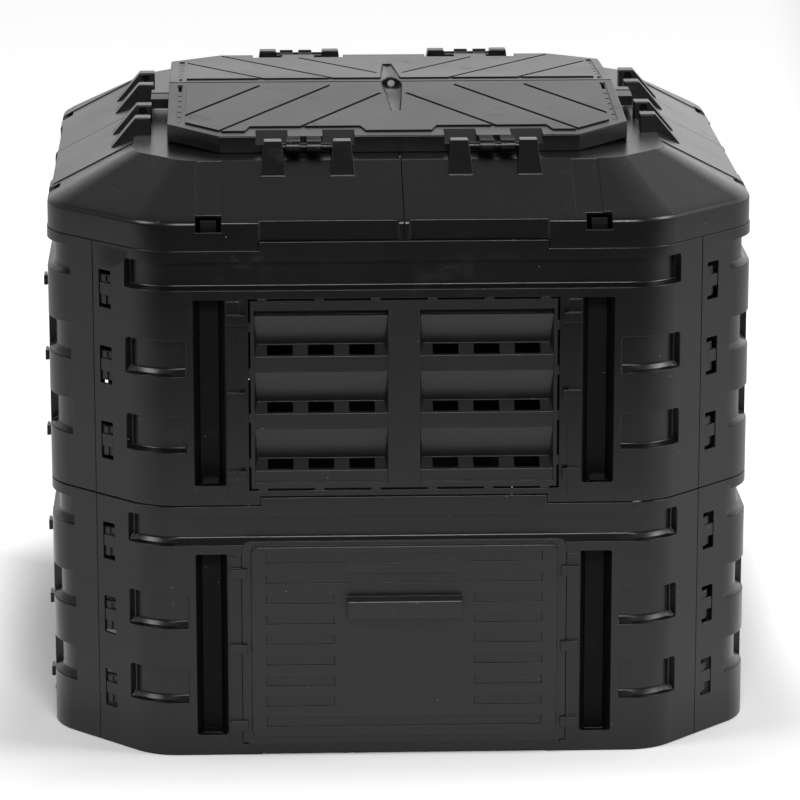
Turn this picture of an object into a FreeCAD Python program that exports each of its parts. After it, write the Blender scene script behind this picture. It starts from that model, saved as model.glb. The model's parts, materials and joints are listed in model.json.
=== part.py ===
# Garden compost bin with a lid, in millimetres, +Z up, front at -Y.
# Two rings of four identical wall panels carry a hood of four quarters.
# Two gabled flaps close the hood, and a hatch slides up on the lower front panel.
# The origin is on the ground, in the middle of the bin's plan.
import FreeCAD, Part
import Sketcher
import math
import os

document = FreeCAD.newDocument("compost_bin")
sheet = document.addObject("Spreadsheet::Sheet", "sizes")

DRIVING_SIZES = [
    ("ring_pitch", 330, "height that one ring of panels adds"),
    ("half_width", 450, "from the middle to the outer face of a wall"),
    ("flat_half", 319, "half the flat of a wall, up to the sharp chamfer corner"),
    ("corner_round", 80, "outer radius between a flat and a chamfer"),
    ("seam_long", 390, "long side of a panel's seam, measured along its wall"),
    ("seam_short", 379, "short side of a panel's seam, measured along its wall"),
    ("seam_gap", 0.8, "gap between two panels at a seam"),
    ("wall", 4, "thickness of the moulded walls"),
    ("rim_half", 181, "half length of the raised middle of a panel's top edge"),
    ("rim_rise", 11, "height of that raised middle"),
    ("rim_play", 0.4, "play round the raised middle"),
    ("foot_relief", 1.5, "relief under the middle of a bottom panel"),
    ("dent_depth", 10, "depth of the bands and windows pressed into a wall"),
    ("dent_slope", 8, "height of their sloping lower face"),
    ("dent_run", 5, "how far a dent runs on over the chamfer"),
    ("dent_boss", 4, "wall behind a dent"),
    ("band_low", 279, "lower edge of the long band"),
    ("band_high", 320, "upper edge of the long band"),
    ("window_start", 269, "inner end of a side window"),
    ("window_rise", 52, "height of a side window"),
    ("window_low", 70, "lower edge of the lower side window"),
    ("window_pitch", 99, "from one side window to the next"),
    ("slot_near", 224, "inner side of a deep slot"),
    ("slot_far", 264, "outer side of a deep slot"),
    ("slot_low", 27, "bottom of a deep slot"),
    ("slot_high", 267, "top of a deep slot"),
    ("slot_depth", 27, "depth of a deep slot"),
    ("slot_wall", 3, "wall round a deep slot"),
    ("slot_draft", 8, "how far each side of a deep slot leans in"),
    ("opening_half", 195, "half width of the panel's knock-out opening"),
    ("opening_low", 20, "lower edge of the knock-out opening"),
    ("opening_high", 268, "upper edge of the knock-out opening"),
    ("rail_near", 206.5, "inner side of a guide rail"),
    ("rail_far", 222, "outer side of a guide rail"),
    ("rail_low", 12, "lower end of a guide rail"),
    ("rail_high", 265, "upper end of a guide rail"),
    ("rail_proud", 2.5, "how far a guide rail stands out"),
    ("hook_reach", 199, "how far in a hook of the rail reaches"),
    ("hook_rise", 13, "height of a hook"),
    ("hook_gap", 4.4, "space under a hook, for the hatch's flange"),
    ("hook_proud", 8, "how far a hook stands out"),
    ("stop_rise", 3, "height of the stop under the hatch"),
    ("tongue_middle", 243.5, "middle of a latch tongue"),
    ("tongue_wide", 20, "width of a latch tongue"),
    ("tongue_near", 5, "depth of a tongue's front face behind the wall face"),
    ("tongue_thick", 4, "thickness of a latch tongue"),
    ("tongue_rise", 37, "how far a tongue stands above the ring"),
    ("barb_depth", 2.5, "how far a tongue's barb reaches forward"),
    ("seam_slot_near", 11, "from the seam to a seam slot"),
    ("seam_slot_far", 32, "from the seam to the end of a seam slot"),
    ("seam_slot_rise", 48, "height of a seam slot"),
    ("seam_slot_low", 49, "bottom of the lowest seam slot"),
    ("seam_slot_pitch", 98.5, "from one seam slot to the next"),
    ("arm_rise", 36, "height of a seam arm"),
    ("arm_root", 14, "overlap of a seam arm on its own panel"),
    ("arm_reach", 29, "reach of a seam arm behind the next panel"),
    ("arm_thick", 3, "thickness of a seam arm"),
    ("arm_head", 22, "far side of a seam arm's neck"),
    ("arm_neck", 2.5, "depth of that neck behind the wall face"),
    ("button_rise", 16, "height of the button at the middle of a seam slot"),
    ("slot_play", 0.4, "play round an arm in its seam slot"),
    ("insert_half", 194, "half width of a louvre insert"),
    ("louvre_near", 20, "inner side of a louvre window"),
    ("louvre_far", 188, "outer side of a louvre window"),
    ("louvre_low", 30, "bottom of the louvre windows"),
    ("louvre_high", 253, "top of the louvre windows"),
    ("louvre_depth", 19, "depth of a louvre"),
    ("louvre_set", 3, "how far the louvres are set back behind the frame"),
    ("louvre_slope", 11.8, "rise of the sloping floor under a louvre blade"),
    ("louvre_top", 7.5, "height of the recess above the top blade"),
    ("louvre_recess", 8, "depth of that recess behind the blade"),
    ("louvre_skin", 3, "thickness of a louvre blade"),
    ("louvre_pitch", 74, "from one louvre to the next"),
    ("lip_high", 45, "top of the lowest louvre's lip"),
    ("lip_rise", 20.5, "height of a louvre's lip"),
    ("vent_wide", 32, "width of a vent hole"),
    ("vent_pitch", 51.5, "from one vent hole to the next"),
    ("cheek_taper", 4.5, "taper of a louvre's cheek"),
    ("nib_wide", 12, "width of a nib that holds an insert"),
    ("nib_thick", 3.7, "thickness of a nib"),
    ("nib_pitch", 71, "from one nib to the next above and below an insert"),
    ("nib_side_pitch", 58.3, "from one nib to the next beside an insert"),
    ("hatch_half", 205.5, "half width of the hatch's flange"),
    ("hatch_low", 15.5, "bottom of the hatch"),
    ("hatch_high", 284.5, "top of the hatch"),
    ("hatch_gap", 0.4, "gap between the wall and the hatch"),
    ("hatch_skin", 3.4, "thickness of the hatch's flange"),
    ("hatch_round", 11, "corner radius of the hatch"),
    ("panel_half", 194, "half width of the hatch's raised field"),
    ("panel_low", 25.5, "bottom of the raised field"),
    ("panel_high", 278.5, "top of the raised field"),
    ("panel_proud", 5, "how far the raised field stands out"),
    ("groove_deep", 2, "depth of the hatch's grooves"),
    ("groove_rise", 11.3, "height of a groove"),
    ("groove_far", 175, "outer end of the grooves"),
    ("groove_near", 89, "inner end of the short grooves"),
    ("grip_half", 73, "half width of the hatch's grip"),
    ("grip_high", 212, "top of the grip"),
    ("grip_rise", 24, "height of the grip"),
    ("grip_reach", 20, "how far the grip stands out"),
    ("grip_skin", 4, "thickness of the grip's shell"),
    ("hood_half", 449, "half width of the hood's skirt"),
    ("hood_round", 82, "corner radius of the hood's skirt"),
    ("skirt_high", 695, "top of the hood's upright skirt"),
    ("shoulder_half", 437, "half width where the slope starts"),
    ("shoulder_high", 702, "height where the slope starts"),
    ("ledge_half", 340, "half width of the ledge"),
    ("ledge_sum", 613, "x plus y of the ledge's chamfer"),
    ("ledge_round", 50, "corner radius of the ledge"),
    ("ledge_high", 752, "height of the ledge"),
    ("middle_inset", 3, "how far the skirt's middle is set back"),
    ("seam_rib", 5.5, "half width of the rib at a hood seam"),
    ("collar_half", 286, "half width of the neck's collar"),
    ("collar_sum", 511, "x plus y of the collar's chamfer"),
    ("collar_high", 760, "top of the collar"),
    ("lug_inner", 318, "inner side of a hinge lug"),
    ("lug_crest", 337.5, "outer side of a lug's top"),
    ("lug_foot", 369.5, "outer side of a lug's foot"),
    ("lug_high", 775.5, "top of a hinge lug"),
    ("lug_near", 63, "near side of the inner lug, at its top"),
    ("lug_wide", 22.5, "width of a lug at its top"),
    ("lug_pitch", 87.5, "from the inner lug to the outer lug"),
    ("lug_draft", 5, "how much wider each side of a lug is at its foot"),
    ("hinge_radius", 330, "distance of a hinge axis from the middle"),
    ("hinge_high", 767, "height of a hinge axis"),
    ("socket_radius", 5.2, "radius of a hinge socket"),
    ("socket_deep", 4.5, "depth of a hinge socket"),
    ("channel_deep", 1.6, "depth of the channels in the hood's slope"),
    ("channel_wide", 34, "width of those channels"),
    ("front_channel", 225, "near side of the channel left of a seam"),
    ("side_channel", 215, "near side of the channel right of a seam"),
    ("clip_low", 683, "bottom of the hood's clip windows"),
    ("clip_high", 706, "top of the hood's clip windows"),
    ("clip_half", 16, "half width of a clip window"),
    ("flap_half", 296, "half width of the pair of flaps"),
    ("flap_flat", 229, "half width of a flap's front edge"),
    ("flap_rise", 16, "rise of a flap from its hinge edge to the split"),
    ("flap_edge_high", 774, "height of a flap's hinge edge"),
    ("flap_skin", 4, "thickness of a flap"),
    ("flap_skirt", 21.4, "height of a flap's skirt"),
    ("flap_wall", 3.2, "thickness of a flap's skirts"),
    ("rim_strip", 24, "width of the plain strip along the split"),
    ("field_half", 273, "half width of a flap's raised field"),
    ("field_rise", 2, "how far the field is raised"),
    ("field_long", 274, "from the split to the far side of the field"),
    ("field_sum", 499, "x plus y of the field's chamfer"),
    ("bracket_inner", 42, "inner end of the hinge bracket"),
    ("bracket_outer", 197, "outer end of the hinge bracket"),
    ("bracket_step", 24, "how far the field is set back behind a hinge"),
    ("line_wide", 5, "width of the rays cut into the field"),
    ("line_deep", 1.6, "depth of the rays and of the vent strips"),
    ("split_gap", 0.6, "gap from the split line to each flap"),
    ("knuckle_radius", 8, "radius of a hinge knuckle"),
    ("knuckle_near", 100.5, "inner side of a knuckle pair"),
    ("knuckle_far", 145, "outer side of a knuckle pair"),
    ("knuckle_slot", 8, "slot between the two knuckles"),
    ("peg_radius", 4.6, "radius of a hinge peg"),
    ("peg_reach", 3.5, "how far a peg enters a lug"),
    ("cove_back", 33, "how far a cove runs back from the hinge edge"),
    ("cove_drop", 11, "depth of a cove at the hinge edge"),
    ("cove_half", 20.4, "half width of a cove"),
    ("cove_inner", 77.5, "middle of the inner cove"),
    ("cove_outer", 162.5, "middle of the outer cove"),
    ("ear_reach", 24, "how far a grip ear stands out"),
    ("ear_start", 4, "from the split to an ear"),
    ("ear_long", 31, "length of an ear"),
    ("ear_drop", 14, "drop of an ear below the flap's top"),
    ("scoop_half", 15, "half width of the finger scoop"),
    ("scoop_long", 170, "length of the finger scoop in one flap"),
    ("scoop_deep", 9, "depth of the finger scoop at the split"),
    ("eye_half", 14, "half width of the lock eye"),
    ("eye_rise", 6, "height of the lock eye above the flap"),
    ("eye_hole", 5, "radius of the hole in the lock eye"),
    ("eye_thick", 4, "thickness of the lock eye"),
    ("vent_strip", 281, "middle of a flap's vent strip"),
    ("vent_hole", 4, "side of a vent hole in a flap"),
]

for row, (alias, value, meaning) in enumerate(DRIVING_SIZES, start=1):
    sheet.set("A%d" % row, alias)
    sheet.set("B%d" % row, str(value))
    sheet.setAlias("B%d" % row, alias)
    sheet.set("C%d" % row, meaning)
document.recompute()


class Size:
    """A length with the spreadsheet formula that it comes from."""

    def __init__(self, number, formula):
        self.number = float(number)
        self.formula = formula

    @staticmethod
    def of(value):
        if isinstance(value, Size):
            return value
        return Size(value, "%.8g" % value)

    def __add__(self, other):
        other = Size.of(other)
        return Size(self.number + other.number, "(%s + %s)" % (self.formula, other.formula))

    def __sub__(self, other):
        other = Size.of(other)
        return Size(self.number - other.number, "(%s - %s)" % (self.formula, other.formula))

    def __mul__(self, factor):
        return Size(self.number * factor, "(%s * %.10g)" % (self.formula, factor))

    __rmul__ = __mul__

    def __truediv__(self, factor):
        return self * (1.0 / factor)

    def __neg__(self):
        return self * -1

    def __radd__(self, other):
        return Size.of(other) + self

    def __rsub__(self, other):
        return Size.of(other) - self


def size(alias):
    """A driving size of the sheet."""
    return Size(sheet.get(alias), "sizes.%s" % alias)


ZERO = Size(0, "0")
DIAGONAL = math.sqrt(0.5)
TANGENT = math.tan(math.radians(22.5))
DENT_TURN = 49.0

half_width = size("half_width")
wall = size("wall")
corner_round = size("corner_round")
ring_pitch = size("ring_pitch")


def start_body(label):
    """A new body; its label becomes the name of the file."""
    body = document.addObject("PartDesign::Body", label)
    body.Label = label
    return body


def start_sketch(body, name, plane, lift):
    """A sketch on one of the body's own planes, moved along the plane's normal."""
    sketch = body.newObject("Sketcher::SketchObject", name)
    origin_plane = next(f for f in body.Origin.OriginFeatures if f.Role == plane)
    sketch.AttachmentSupport = [(origin_plane, "")]
    sketch.MapMode = "FlatFace"
    lift = Size.of(lift)
    sketch.AttachmentOffset = FreeCAD.Placement(FreeCAD.Vector(0, 0, lift.number), FreeCAD.Rotation())
    sketch.setExpression("AttachmentOffset.Base.z", lift.formula)
    return sketch


def arc_between(start, end, radius):
    """The short arc that turns left from start to end."""
    chord = end - start
    middle = (start + end) / 2
    left = FreeCAD.Vector(-chord.y, chord.x, 0).normalize()
    height = math.sqrt(max(radius * radius - chord.Length * chord.Length / 4, 0.0))
    centre = middle + left * height
    first = math.atan2(start.y - centre.y, start.x - centre.x)
    last = math.atan2(end.y - centre.y, end.x - centre.x)
    return Part.ArcOfCircle(Part.Circle(centre, FreeCAD.Vector(0, 0, 1), radius), first, last)


def draw_outline(sketch, corners):
    """A closed outline through corners (x, y), each optionally followed by the radius
    of an arc to the next corner: positive turns left, negative turns right."""
    count = len(corners)
    points = []
    for corner in corners:
        points.append(FreeCAD.Vector(Size.of(corner[0]).number, Size.of(corner[1]).number, 0))
    first_edge = sketch.GeometryCount
    edges = []
    starts = []
    ends = []
    for index in range(count):
        start = points[index]
        end = points[(index + 1) % count]
        radius = Size.of(corners[index][2]) if len(corners[index]) > 2 else None
        turns_right = radius is not None and radius.number < 0
        if radius is None:
            edges.append(Part.LineSegment(start, end))
        elif turns_right:
            edges.append(arc_between(end, start, -radius.number))
        else:
            edges.append(arc_between(start, end, radius.number))
        starts.append(2 if turns_right else 1)
        ends.append(1 if turns_right else 2)
    sketch.addGeometry(edges, False)
    rules = []
    formulas = []
    for index in range(count):
        following = (index + 1) % count
        rules.append(Sketcher.Constraint(
            "Coincident", first_edge + index, ends[index], first_edge + following, starts[following]))
    for index in range(count):
        edge = first_edge + index
        for kind, value in (("DistanceX", corners[index][0]), ("DistanceY", corners[index][1])):
            value = Size.of(value)
            formulas.append((len(rules), value.formula))
            rules.append(Sketcher.Constraint(kind, -1, 1, edge, starts[index], value.number))
        if len(corners[index]) > 2:
            radius = Size.of(corners[index][2])
            if radius.number < 0:
                radius = -radius
            formulas.append((len(rules), radius.formula))
            rules.append(Sketcher.Constraint("Radius", edge, radius.number))
    first_rule = sketch.ConstraintCount
    sketch.addConstraint(rules)
    for offset, formula in formulas:
        if "sizes" in formula:
            sketch.setExpression("Constraints[%d]" % (first_rule + offset), formula)


def draw_rectangle(sketch, left, right, low, high):
    """A rectangle, drawn anticlockwise."""
    draw_outline(sketch, [(left, low), (right, low), (right, high), (left, high)])


def draw_circle(sketch, x, y, radius):
    """A circle with a driven centre and radius."""
    x, y, radius = Size.of(x), Size.of(y), Size.of(radius)
    centre = FreeCAD.Vector(x.number, y.number, 0)
    edge = sketch.addGeometry(Part.Circle(centre, FreeCAD.Vector(0, 0, 1), radius.number), False)
    for kind, value in (("DistanceX", x), ("DistanceY", y)):
        number = sketch.addConstraint(Sketcher.Constraint(kind, -1, 1, edge, 3, value.number))
        sketch.setExpression("Constraints[%d]" % number, value.formula)
    number = sketch.addConstraint(Sketcher.Constraint("Radius", edge, radius.number))
    sketch.setExpression("Constraints[%d]" % number, radius.formula)


def add_feature(body, kind, name, sketch, length, backwards=False, taper=0.0):
    """A pad or pocket of a sketch."""
    feature = body.newObject("PartDesign::" + kind, name)
    feature.Profile = sketch
    feature.Reversed = backwards
    feature.Refine = False
    length = Size.of(length)
    feature.Length = length.number
    feature.setExpression("Length", length.formula)
    if taper:
        feature.TaperAngle = taper
    sketch.Visibility = False
    return feature


def pad(body, name, sketch, length, backwards=False, taper=0.0):
    return add_feature(body, "Pad", name, sketch, length, backwards, taper)


def pocket(body, name, sketch, length, backwards=False, taper=0.0):
    return add_feature(body, "Pocket", name, sketch, length, backwards, taper)


def wall_station(side, run, depth):
    """A point of the panel's plan on its right (+1) or left (-1) end.
    A run below zero is measured along the flat back from the arc,
    and above zero along the chamfer from the arc's far end."""
    arc_start = size("flat_half") - corner_round * TANGENT
    centre_y = corner_round - half_width
    radius = corner_round - depth
    run = Size.of(run)
    if run.number < 0:
        return (arc_start + run) * side, centre_y - radius
    x = arc_start + radius * DIAGONAL + run * DIAGONAL
    y = centre_y - radius * DIAGONAL + run * DIAGONAL
    return x * side, y


def wall_arc(side, depth):
    """The two ends of the corner arc at a depth, from the flat to the chamfer."""
    arc_start = size("flat_half") - corner_round * TANGENT
    centre_y = corner_round - half_width
    radius = corner_round - depth
    flat_end = (arc_start * side, centre_y - radius)
    chamfer_end = ((arc_start + radius * DIAGONAL) * side, centre_y - radius * DIAGONAL)
    return flat_end, chamfer_end, radius


def draw_full_strip(sketch, left_run, right_run, near, far):
    """The plan of the wall between two depths, over both corners."""
    near, far = Size.of(near), Size.of(far)
    corners = []
    for depth, order in ((near, 1), (far, -1)):
        left_flat, left_chamfer, radius = wall_arc(-1, depth)
        right_flat, right_chamfer, radius = wall_arc(1, depth)
        left_end = wall_station(-1, left_run, depth)
        right_end = wall_station(1, right_run, depth)
        if order > 0:
            corners += [left_end, left_chamfer + (radius,), left_flat, right_flat + (radius,),
                        right_chamfer, right_end]
        else:
            corners += [right_end, right_chamfer + (-radius,), right_flat, left_flat + (-radius,),
                        left_chamfer, left_end]
    draw_outline(sketch, corners)


def draw_corner_strip(sketch, side, start_x, end_run, near, far):
    """The plan of the wall between two depths, over one corner."""
    near, far = Size.of(near), Size.of(far)
    corners = []
    for depth, outward in ((near, True), (far, False)):
        flat_end, chamfer_end, radius = wall_arc(side, depth)
        start = (start_x * side, depth - half_width)
        end = wall_station(side, end_run, depth)
        turn = radius if outward == (side > 0) else -radius
        if outward:
            corners += [start, flat_end + (turn,), chamfer_end, end]
        else:
            corners += [end, chamfer_end + (turn,), flat_end, start]
    draw_outline(sketch, corners)


def seam_run(distance):
    """The chamfer run that lies a given way along the wall from the middle."""
    arc_start = size("flat_half") - corner_round * TANGENT
    return (distance - arc_start - corner_round * DIAGONAL) / DIAGONAL


def seam_polygon(side, base_run, stations):
    """Plan points given as (run beyond base_run, depth) on one end's chamfer."""
    return [wall_station(side, base_run + Size.of(run), Size.of(depth)) for run, depth in stations]


def make_ring_panel(label):
    """A wall panel: curved ends, dents, deep slots, guide rails, tongues and seam arms."""
    body = start_body(label)
    left_run = seam_run(size("seam_long")) - size("seam_gap") / 2
    right_run = seam_run(size("seam_short")) - size("seam_gap") / 2
    dent_run = size("dent_run")
    dent_depth = size("dent_depth")
    boss = size("dent_boss")
    band_low, band_high = size("band_low"), size("band_high")
    window_start = size("window_start")
    window_lows = [size("window_low") + size("window_pitch") * n for n in range(2)]
    slot_near, slot_far = size("slot_near"), size("slot_far")
    slot_low, slot_high, slot_wall = size("slot_low"), size("slot_high"), size("slot_wall")

    sketch = start_sketch(body, "wall_plan", "XY_Plane", ZERO)
    draw_full_strip(sketch, left_run, right_run, ZERO, wall)
    pad(body, "wall_pad", sketch, ring_pitch)

    sketch = start_sketch(body, "rim_plan", "XY_Plane", ring_pitch - 1)
    draw_rectangle(sketch, -size("rim_half"), size("rim_half"), -half_width, wall - half_width)
    pad(body, "rim", sketch, size("rim_rise") + 1)

    sketch = start_sketch(body, "band_boss_plan", "XY_Plane", band_low - boss)
    draw_full_strip(sketch, dent_run + boss, dent_run + boss, wall - 1, dent_depth + boss)
    pad(body, "band_boss", sketch, band_high - band_low + boss * 2)

    for number, low in enumerate(window_lows):
        sketch = start_sketch(body, "window_boss_plan_%d" % number, "XY_Plane", low - boss)
        for side in (-1, 1):
            draw_corner_strip(sketch, side, window_start - boss, dent_run + boss,
                              wall - 1, dent_depth + boss)
        pad(body, "window_boss_%d" % number, sketch, size("window_rise") + boss * 2)

    sketch = start_sketch(body, "slot_boss_face", "XZ_Plane", half_width - wall + 1)
    for side in (-1, 1):
        ends = sorted((slot_near - slot_wall, slot_far + slot_wall), key=lambda s: s.number)
        left, right = (ends[0], ends[1]) if side > 0 else (-ends[1], -ends[0])
        draw_rectangle(sketch, left, right, slot_low - slot_wall, slot_high + slot_wall)
    pad(body, "slot_boss", sketch, size("slot_depth") + slot_wall - wall + 1, backwards=True)

    sketch = start_sketch(body, "rail_face", "XZ_Plane", half_width - 1)
    for side in (-1, 1):
        left, right = ((size("rail_near"), size("rail_far")) if side > 0
                       else (-size("rail_far"), -size("rail_near")))
        draw_rectangle(sketch, left, right, size("rail_low"), size("rail_high"))
    pad(body, "rails", sketch, size("rail_proud") + 1)

    hook_middles = (41, 142.5, 242.5)
    root_half = size("hook_rise") / 2 - 0.3
    sketch = start_sketch(body, "hook_root_face", "XZ_Plane", half_width - 1)
    for side in (-1, 1):
        for middle in hook_middles:
            left, right = ((size("rail_near") + 0.3, size("rail_far") - 0.3) if side > 0
                           else (-size("rail_far") + 0.3, -size("rail_near") - 0.3))
            draw_rectangle(sketch, left, right, Size.of(middle) - root_half, Size.of(middle) + root_half)
    pad(body, "hook_roots", sketch, size("hook_gap") + 2)

    sketch = start_sketch(body, "hook_face", "XZ_Plane", half_width + size("hook_gap"))
    for side in (-1, 1):
        for middle in hook_middles:
            left, right = ((size("hook_reach"), size("rail_far")) if side > 0
                           else (-size("rail_far"), -size("hook_reach")))
            draw_rectangle(sketch, left, right,
                           Size.of(middle) - size("hook_rise") / 2, Size.of(middle) + size("hook_rise") / 2)
    pad(body, "hooks", sketch, size("hook_proud") - size("hook_gap"))

    tongue_half = size("tongue_wide") / 2
    sketch = start_sketch(body, "tongue_plan", "XY_Plane", band_high + 2)
    for side in (-1, 1):
        middle = size("tongue_middle") * side
        near = size("tongue_near") - half_width
        draw_rectangle(sketch, middle - tongue_half, middle + tongue_half,
                       near, near + size("tongue_thick"))
    pad(body, "tongues", sketch, ring_pitch + size("tongue_rise") - band_high - 2)

    sketch = start_sketch(body, "barb_plan", "XY_Plane", ring_pitch + slot_low + 1.5)
    for side in (-1, 1):
        middle = size("tongue_middle") * side
        draw_rectangle(sketch, middle - tongue_half, middle + tongue_half,
                       size("barb_depth") - half_width, size("tongue_near") - half_width + 1)
    pad(body, "barbs", sketch, size("tongue_rise") - slot_low - 2.5)

    arm_back = wall + 0.6 + size("arm_thick")
    slot_start = size("seam_gap") + size("seam_slot_near") + size("slot_play")
    slot_end = size("seam_gap") + size("seam_slot_far") - size("slot_play")
    neck = size("arm_neck")
    arm_stations = [(-size("arm_root"), wall - 0.5), (ZERO, wall - 0.5), (ZERO, wall + 0.6),
                    (slot_start, wall + 0.6), (slot_start, neck),
                    (size("arm_head"), neck), (size("arm_head"), wall + 0.6),
                    (size("arm_reach"), wall + 0.6), (size("arm_reach"), arm_back),
                    (-size("arm_root"), arm_back)]
    button_stations = [(slot_start + 0.1, ZERO + 0.8), (slot_end, ZERO + 0.8),
                       (slot_end, wall + 1.6), (slot_start + 0.1, wall + 1.6)]
    button_inset = (size("seam_slot_rise") - size("button_rise")) / 2
    slot_lows = [size("seam_slot_low") + size("seam_slot_pitch") * n for n in range(3)]
    arm_inset = (size("seam_slot_rise") - size("arm_rise")) / 2
    for number, low in enumerate(slot_lows):
        sketch = start_sketch(body, "arm_plan_%d" % number, "XY_Plane", low + arm_inset)
        draw_outline(sketch, seam_polygon(1, right_run, arm_stations))
        pad(body, "seam_arm_%d" % number, sketch, size("arm_rise"))
        sketch = start_sketch(body, "button_plan_%d" % number, "XY_Plane", low + button_inset)
        draw_outline(sketch, seam_polygon(1, right_run, button_stations))
        pad(body, "seam_button_%d" % number, sketch, size("button_rise"))

    def dents(name, bottoms, rise, inner_end):
        """Recesses with a sloping lower face, swept along the flat and round the corners."""
        arc_start = size("flat_half") - corner_round * TANGENT
        axis_y = corner_round - half_width
        for side_name, side in (("left", -1), ("right", 1)):
            sketch = start_sketch(body, "%s_section_%s" % (name, side_name), "YZ_Plane", arc_start * side)
            axis = sketch.addGeometry(Part.LineSegment(
                FreeCAD.Vector(axis_y.number, 0, 0), FreeCAD.Vector(axis_y.number, 100, 0)), True)
            sketch.addConstraint(Sketcher.Constraint("Vertical", axis))
            rule = sketch.addConstraint(Sketcher.Constraint("DistanceX", -1, 1, axis, 1, axis_y.number))
            sketch.setExpression("Constraints[%d]" % rule, axis_y.formula)
            outer, inner, lip = -half_width - 3, dent_depth - half_width, 2 - half_width
            for low in bottoms:
                draw_outline(sketch, [(outer, low), (lip, low), (inner, low + size("dent_slope")),
                                      (inner, low + rise), (outer, low + rise)])
            around = body.newObject("PartDesign::Groove", "%s_corner_%s" % (name, side_name))
            around.Profile = sketch
            around.ReferenceAxis = (sketch, ["Axis0"])
            around.Angle = DENT_TURN
            around.Reversed = side < 0
            around.Refine = False
            sketch.Visibility = False
            flat = start_sketch(body, "%s_flat_section_%s" % (name, side_name), "YZ_Plane",
                                arc_start * side)
            for low in bottoms:
                draw_outline(flat, [(outer, low), (lip, low), (inner, low + size("dent_slope")),
                                    (inner, low + rise), (outer, low + rise)])
            if inner_end is None and side > 0:
                continue
            length = arc_start * 2 if inner_end is None else arc_start - inner_end
            pocket(body, "%s_flat_%s" % (name, side_name), flat, length, backwards=side < 0)

    dents("band", [band_low], band_high - band_low, None)
    dents("windows", window_lows, size("window_rise"), window_start)

    sketch = start_sketch(body, "slot_plan", "XY_Plane", slot_high)
    draft = size("slot_draft")
    slot_floor = size("slot_depth") - half_width
    for side in (-1, 1):
        corners = [(slot_near, -half_width - 1), (slot_far, -half_width - 1), (slot_far, -half_width),
                   (slot_far - draft, slot_floor), (slot_near + draft, slot_floor), (slot_near, -half_width)]
        if side < 0:
            corners = [(-x, y) for x, y in reversed(corners)]
        draw_outline(sketch, corners)
    pocket(body, "slots", sketch, slot_high - slot_low)

    sketch = start_sketch(body, "slot_floor_plan", "XY_Plane", slot_low + 1)
    for side in (-1, 1):
        middle = size("tongue_middle") * side
        draw_rectangle(sketch, middle - tongue_half - 2, middle + tongue_half + 2,
                       wall - half_width, size("tongue_near") + size("tongue_thick") + 2 - half_width)
    pocket(body, "slot_floor", sketch, slot_wall + 2)

    sketch = start_sketch(body, "opening_face", "XZ_Plane", half_width + 1)
    draw_rectangle(sketch, -size("opening_half"), size("opening_half"),
                   size("opening_low"), size("opening_high"))
    pocket(body, "opening", sketch, wall + 2)

    for number, low in enumerate(slot_lows):
        sketch = start_sketch(body, "seam_slot_plan_%d" % number, "XY_Plane",
                              low + size("seam_slot_rise"))
        stations = [(-size("seam_slot_far"), ZERO - 1), (-size("seam_slot_near"), ZERO - 1),
                    (-size("seam_slot_near"), wall + 1), (-size("seam_slot_far"), wall + 1)]
        draw_outline(sketch, seam_polygon(-1, left_run, stations))
        pocket(body, "seam_slot_%d" % number, sketch, size("seam_slot_rise"))
    return body


def bound_box(name, corner, lengths):
    """A box whose corner and sides follow the sheet."""
    box = document.addObject("Part::Box", name)
    corner = [Size.of(value) for value in corner]
    lengths = [Size.of(value) for value in lengths]
    box.Placement.Base = FreeCAD.Vector(*[value.number for value in corner])
    for axis, value in zip("xyz", corner):
        box.setExpression("Placement.Base." + axis, value.formula)
    for side, value in zip(("Length", "Width", "Height"), lengths):
        setattr(box, side, value.number)
        box.setExpression(side, value.formula)
    return box


def finish_panel(name, moulding, relief, with_stops):
    """A ring panel with its bottom relief, and with stops for the hatch if it needs them."""
    play = size("rim_half") + size("rim_play")
    tool = bound_box(name + "_relief", (-play, -half_width - 1, ZERO - 1), (play * 2, wall + 2, relief + 1))
    base = document.addObject("Part::Cut", name + "_relieved")
    base.Base = moulding
    base.Tool = tool
    if not with_stops:
        return base
    stops = []
    for number, side in enumerate((-1, 1)):
        left = size("hook_reach") if side > 0 else -size("rail_near") - 1
        stops.append(bound_box("%s_stop_%d" % (name, number),
                               (left, -half_width - size("hook_gap"), size("rail_low")),
                               (size("rail_near") + 1 - size("hook_reach"), size("hook_gap") + 1,
                                size("stop_rise"))))
    whole = document.addObject("Part::MultiFuse", name)
    whole.Shapes = [base] + stops
    return whole


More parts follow.
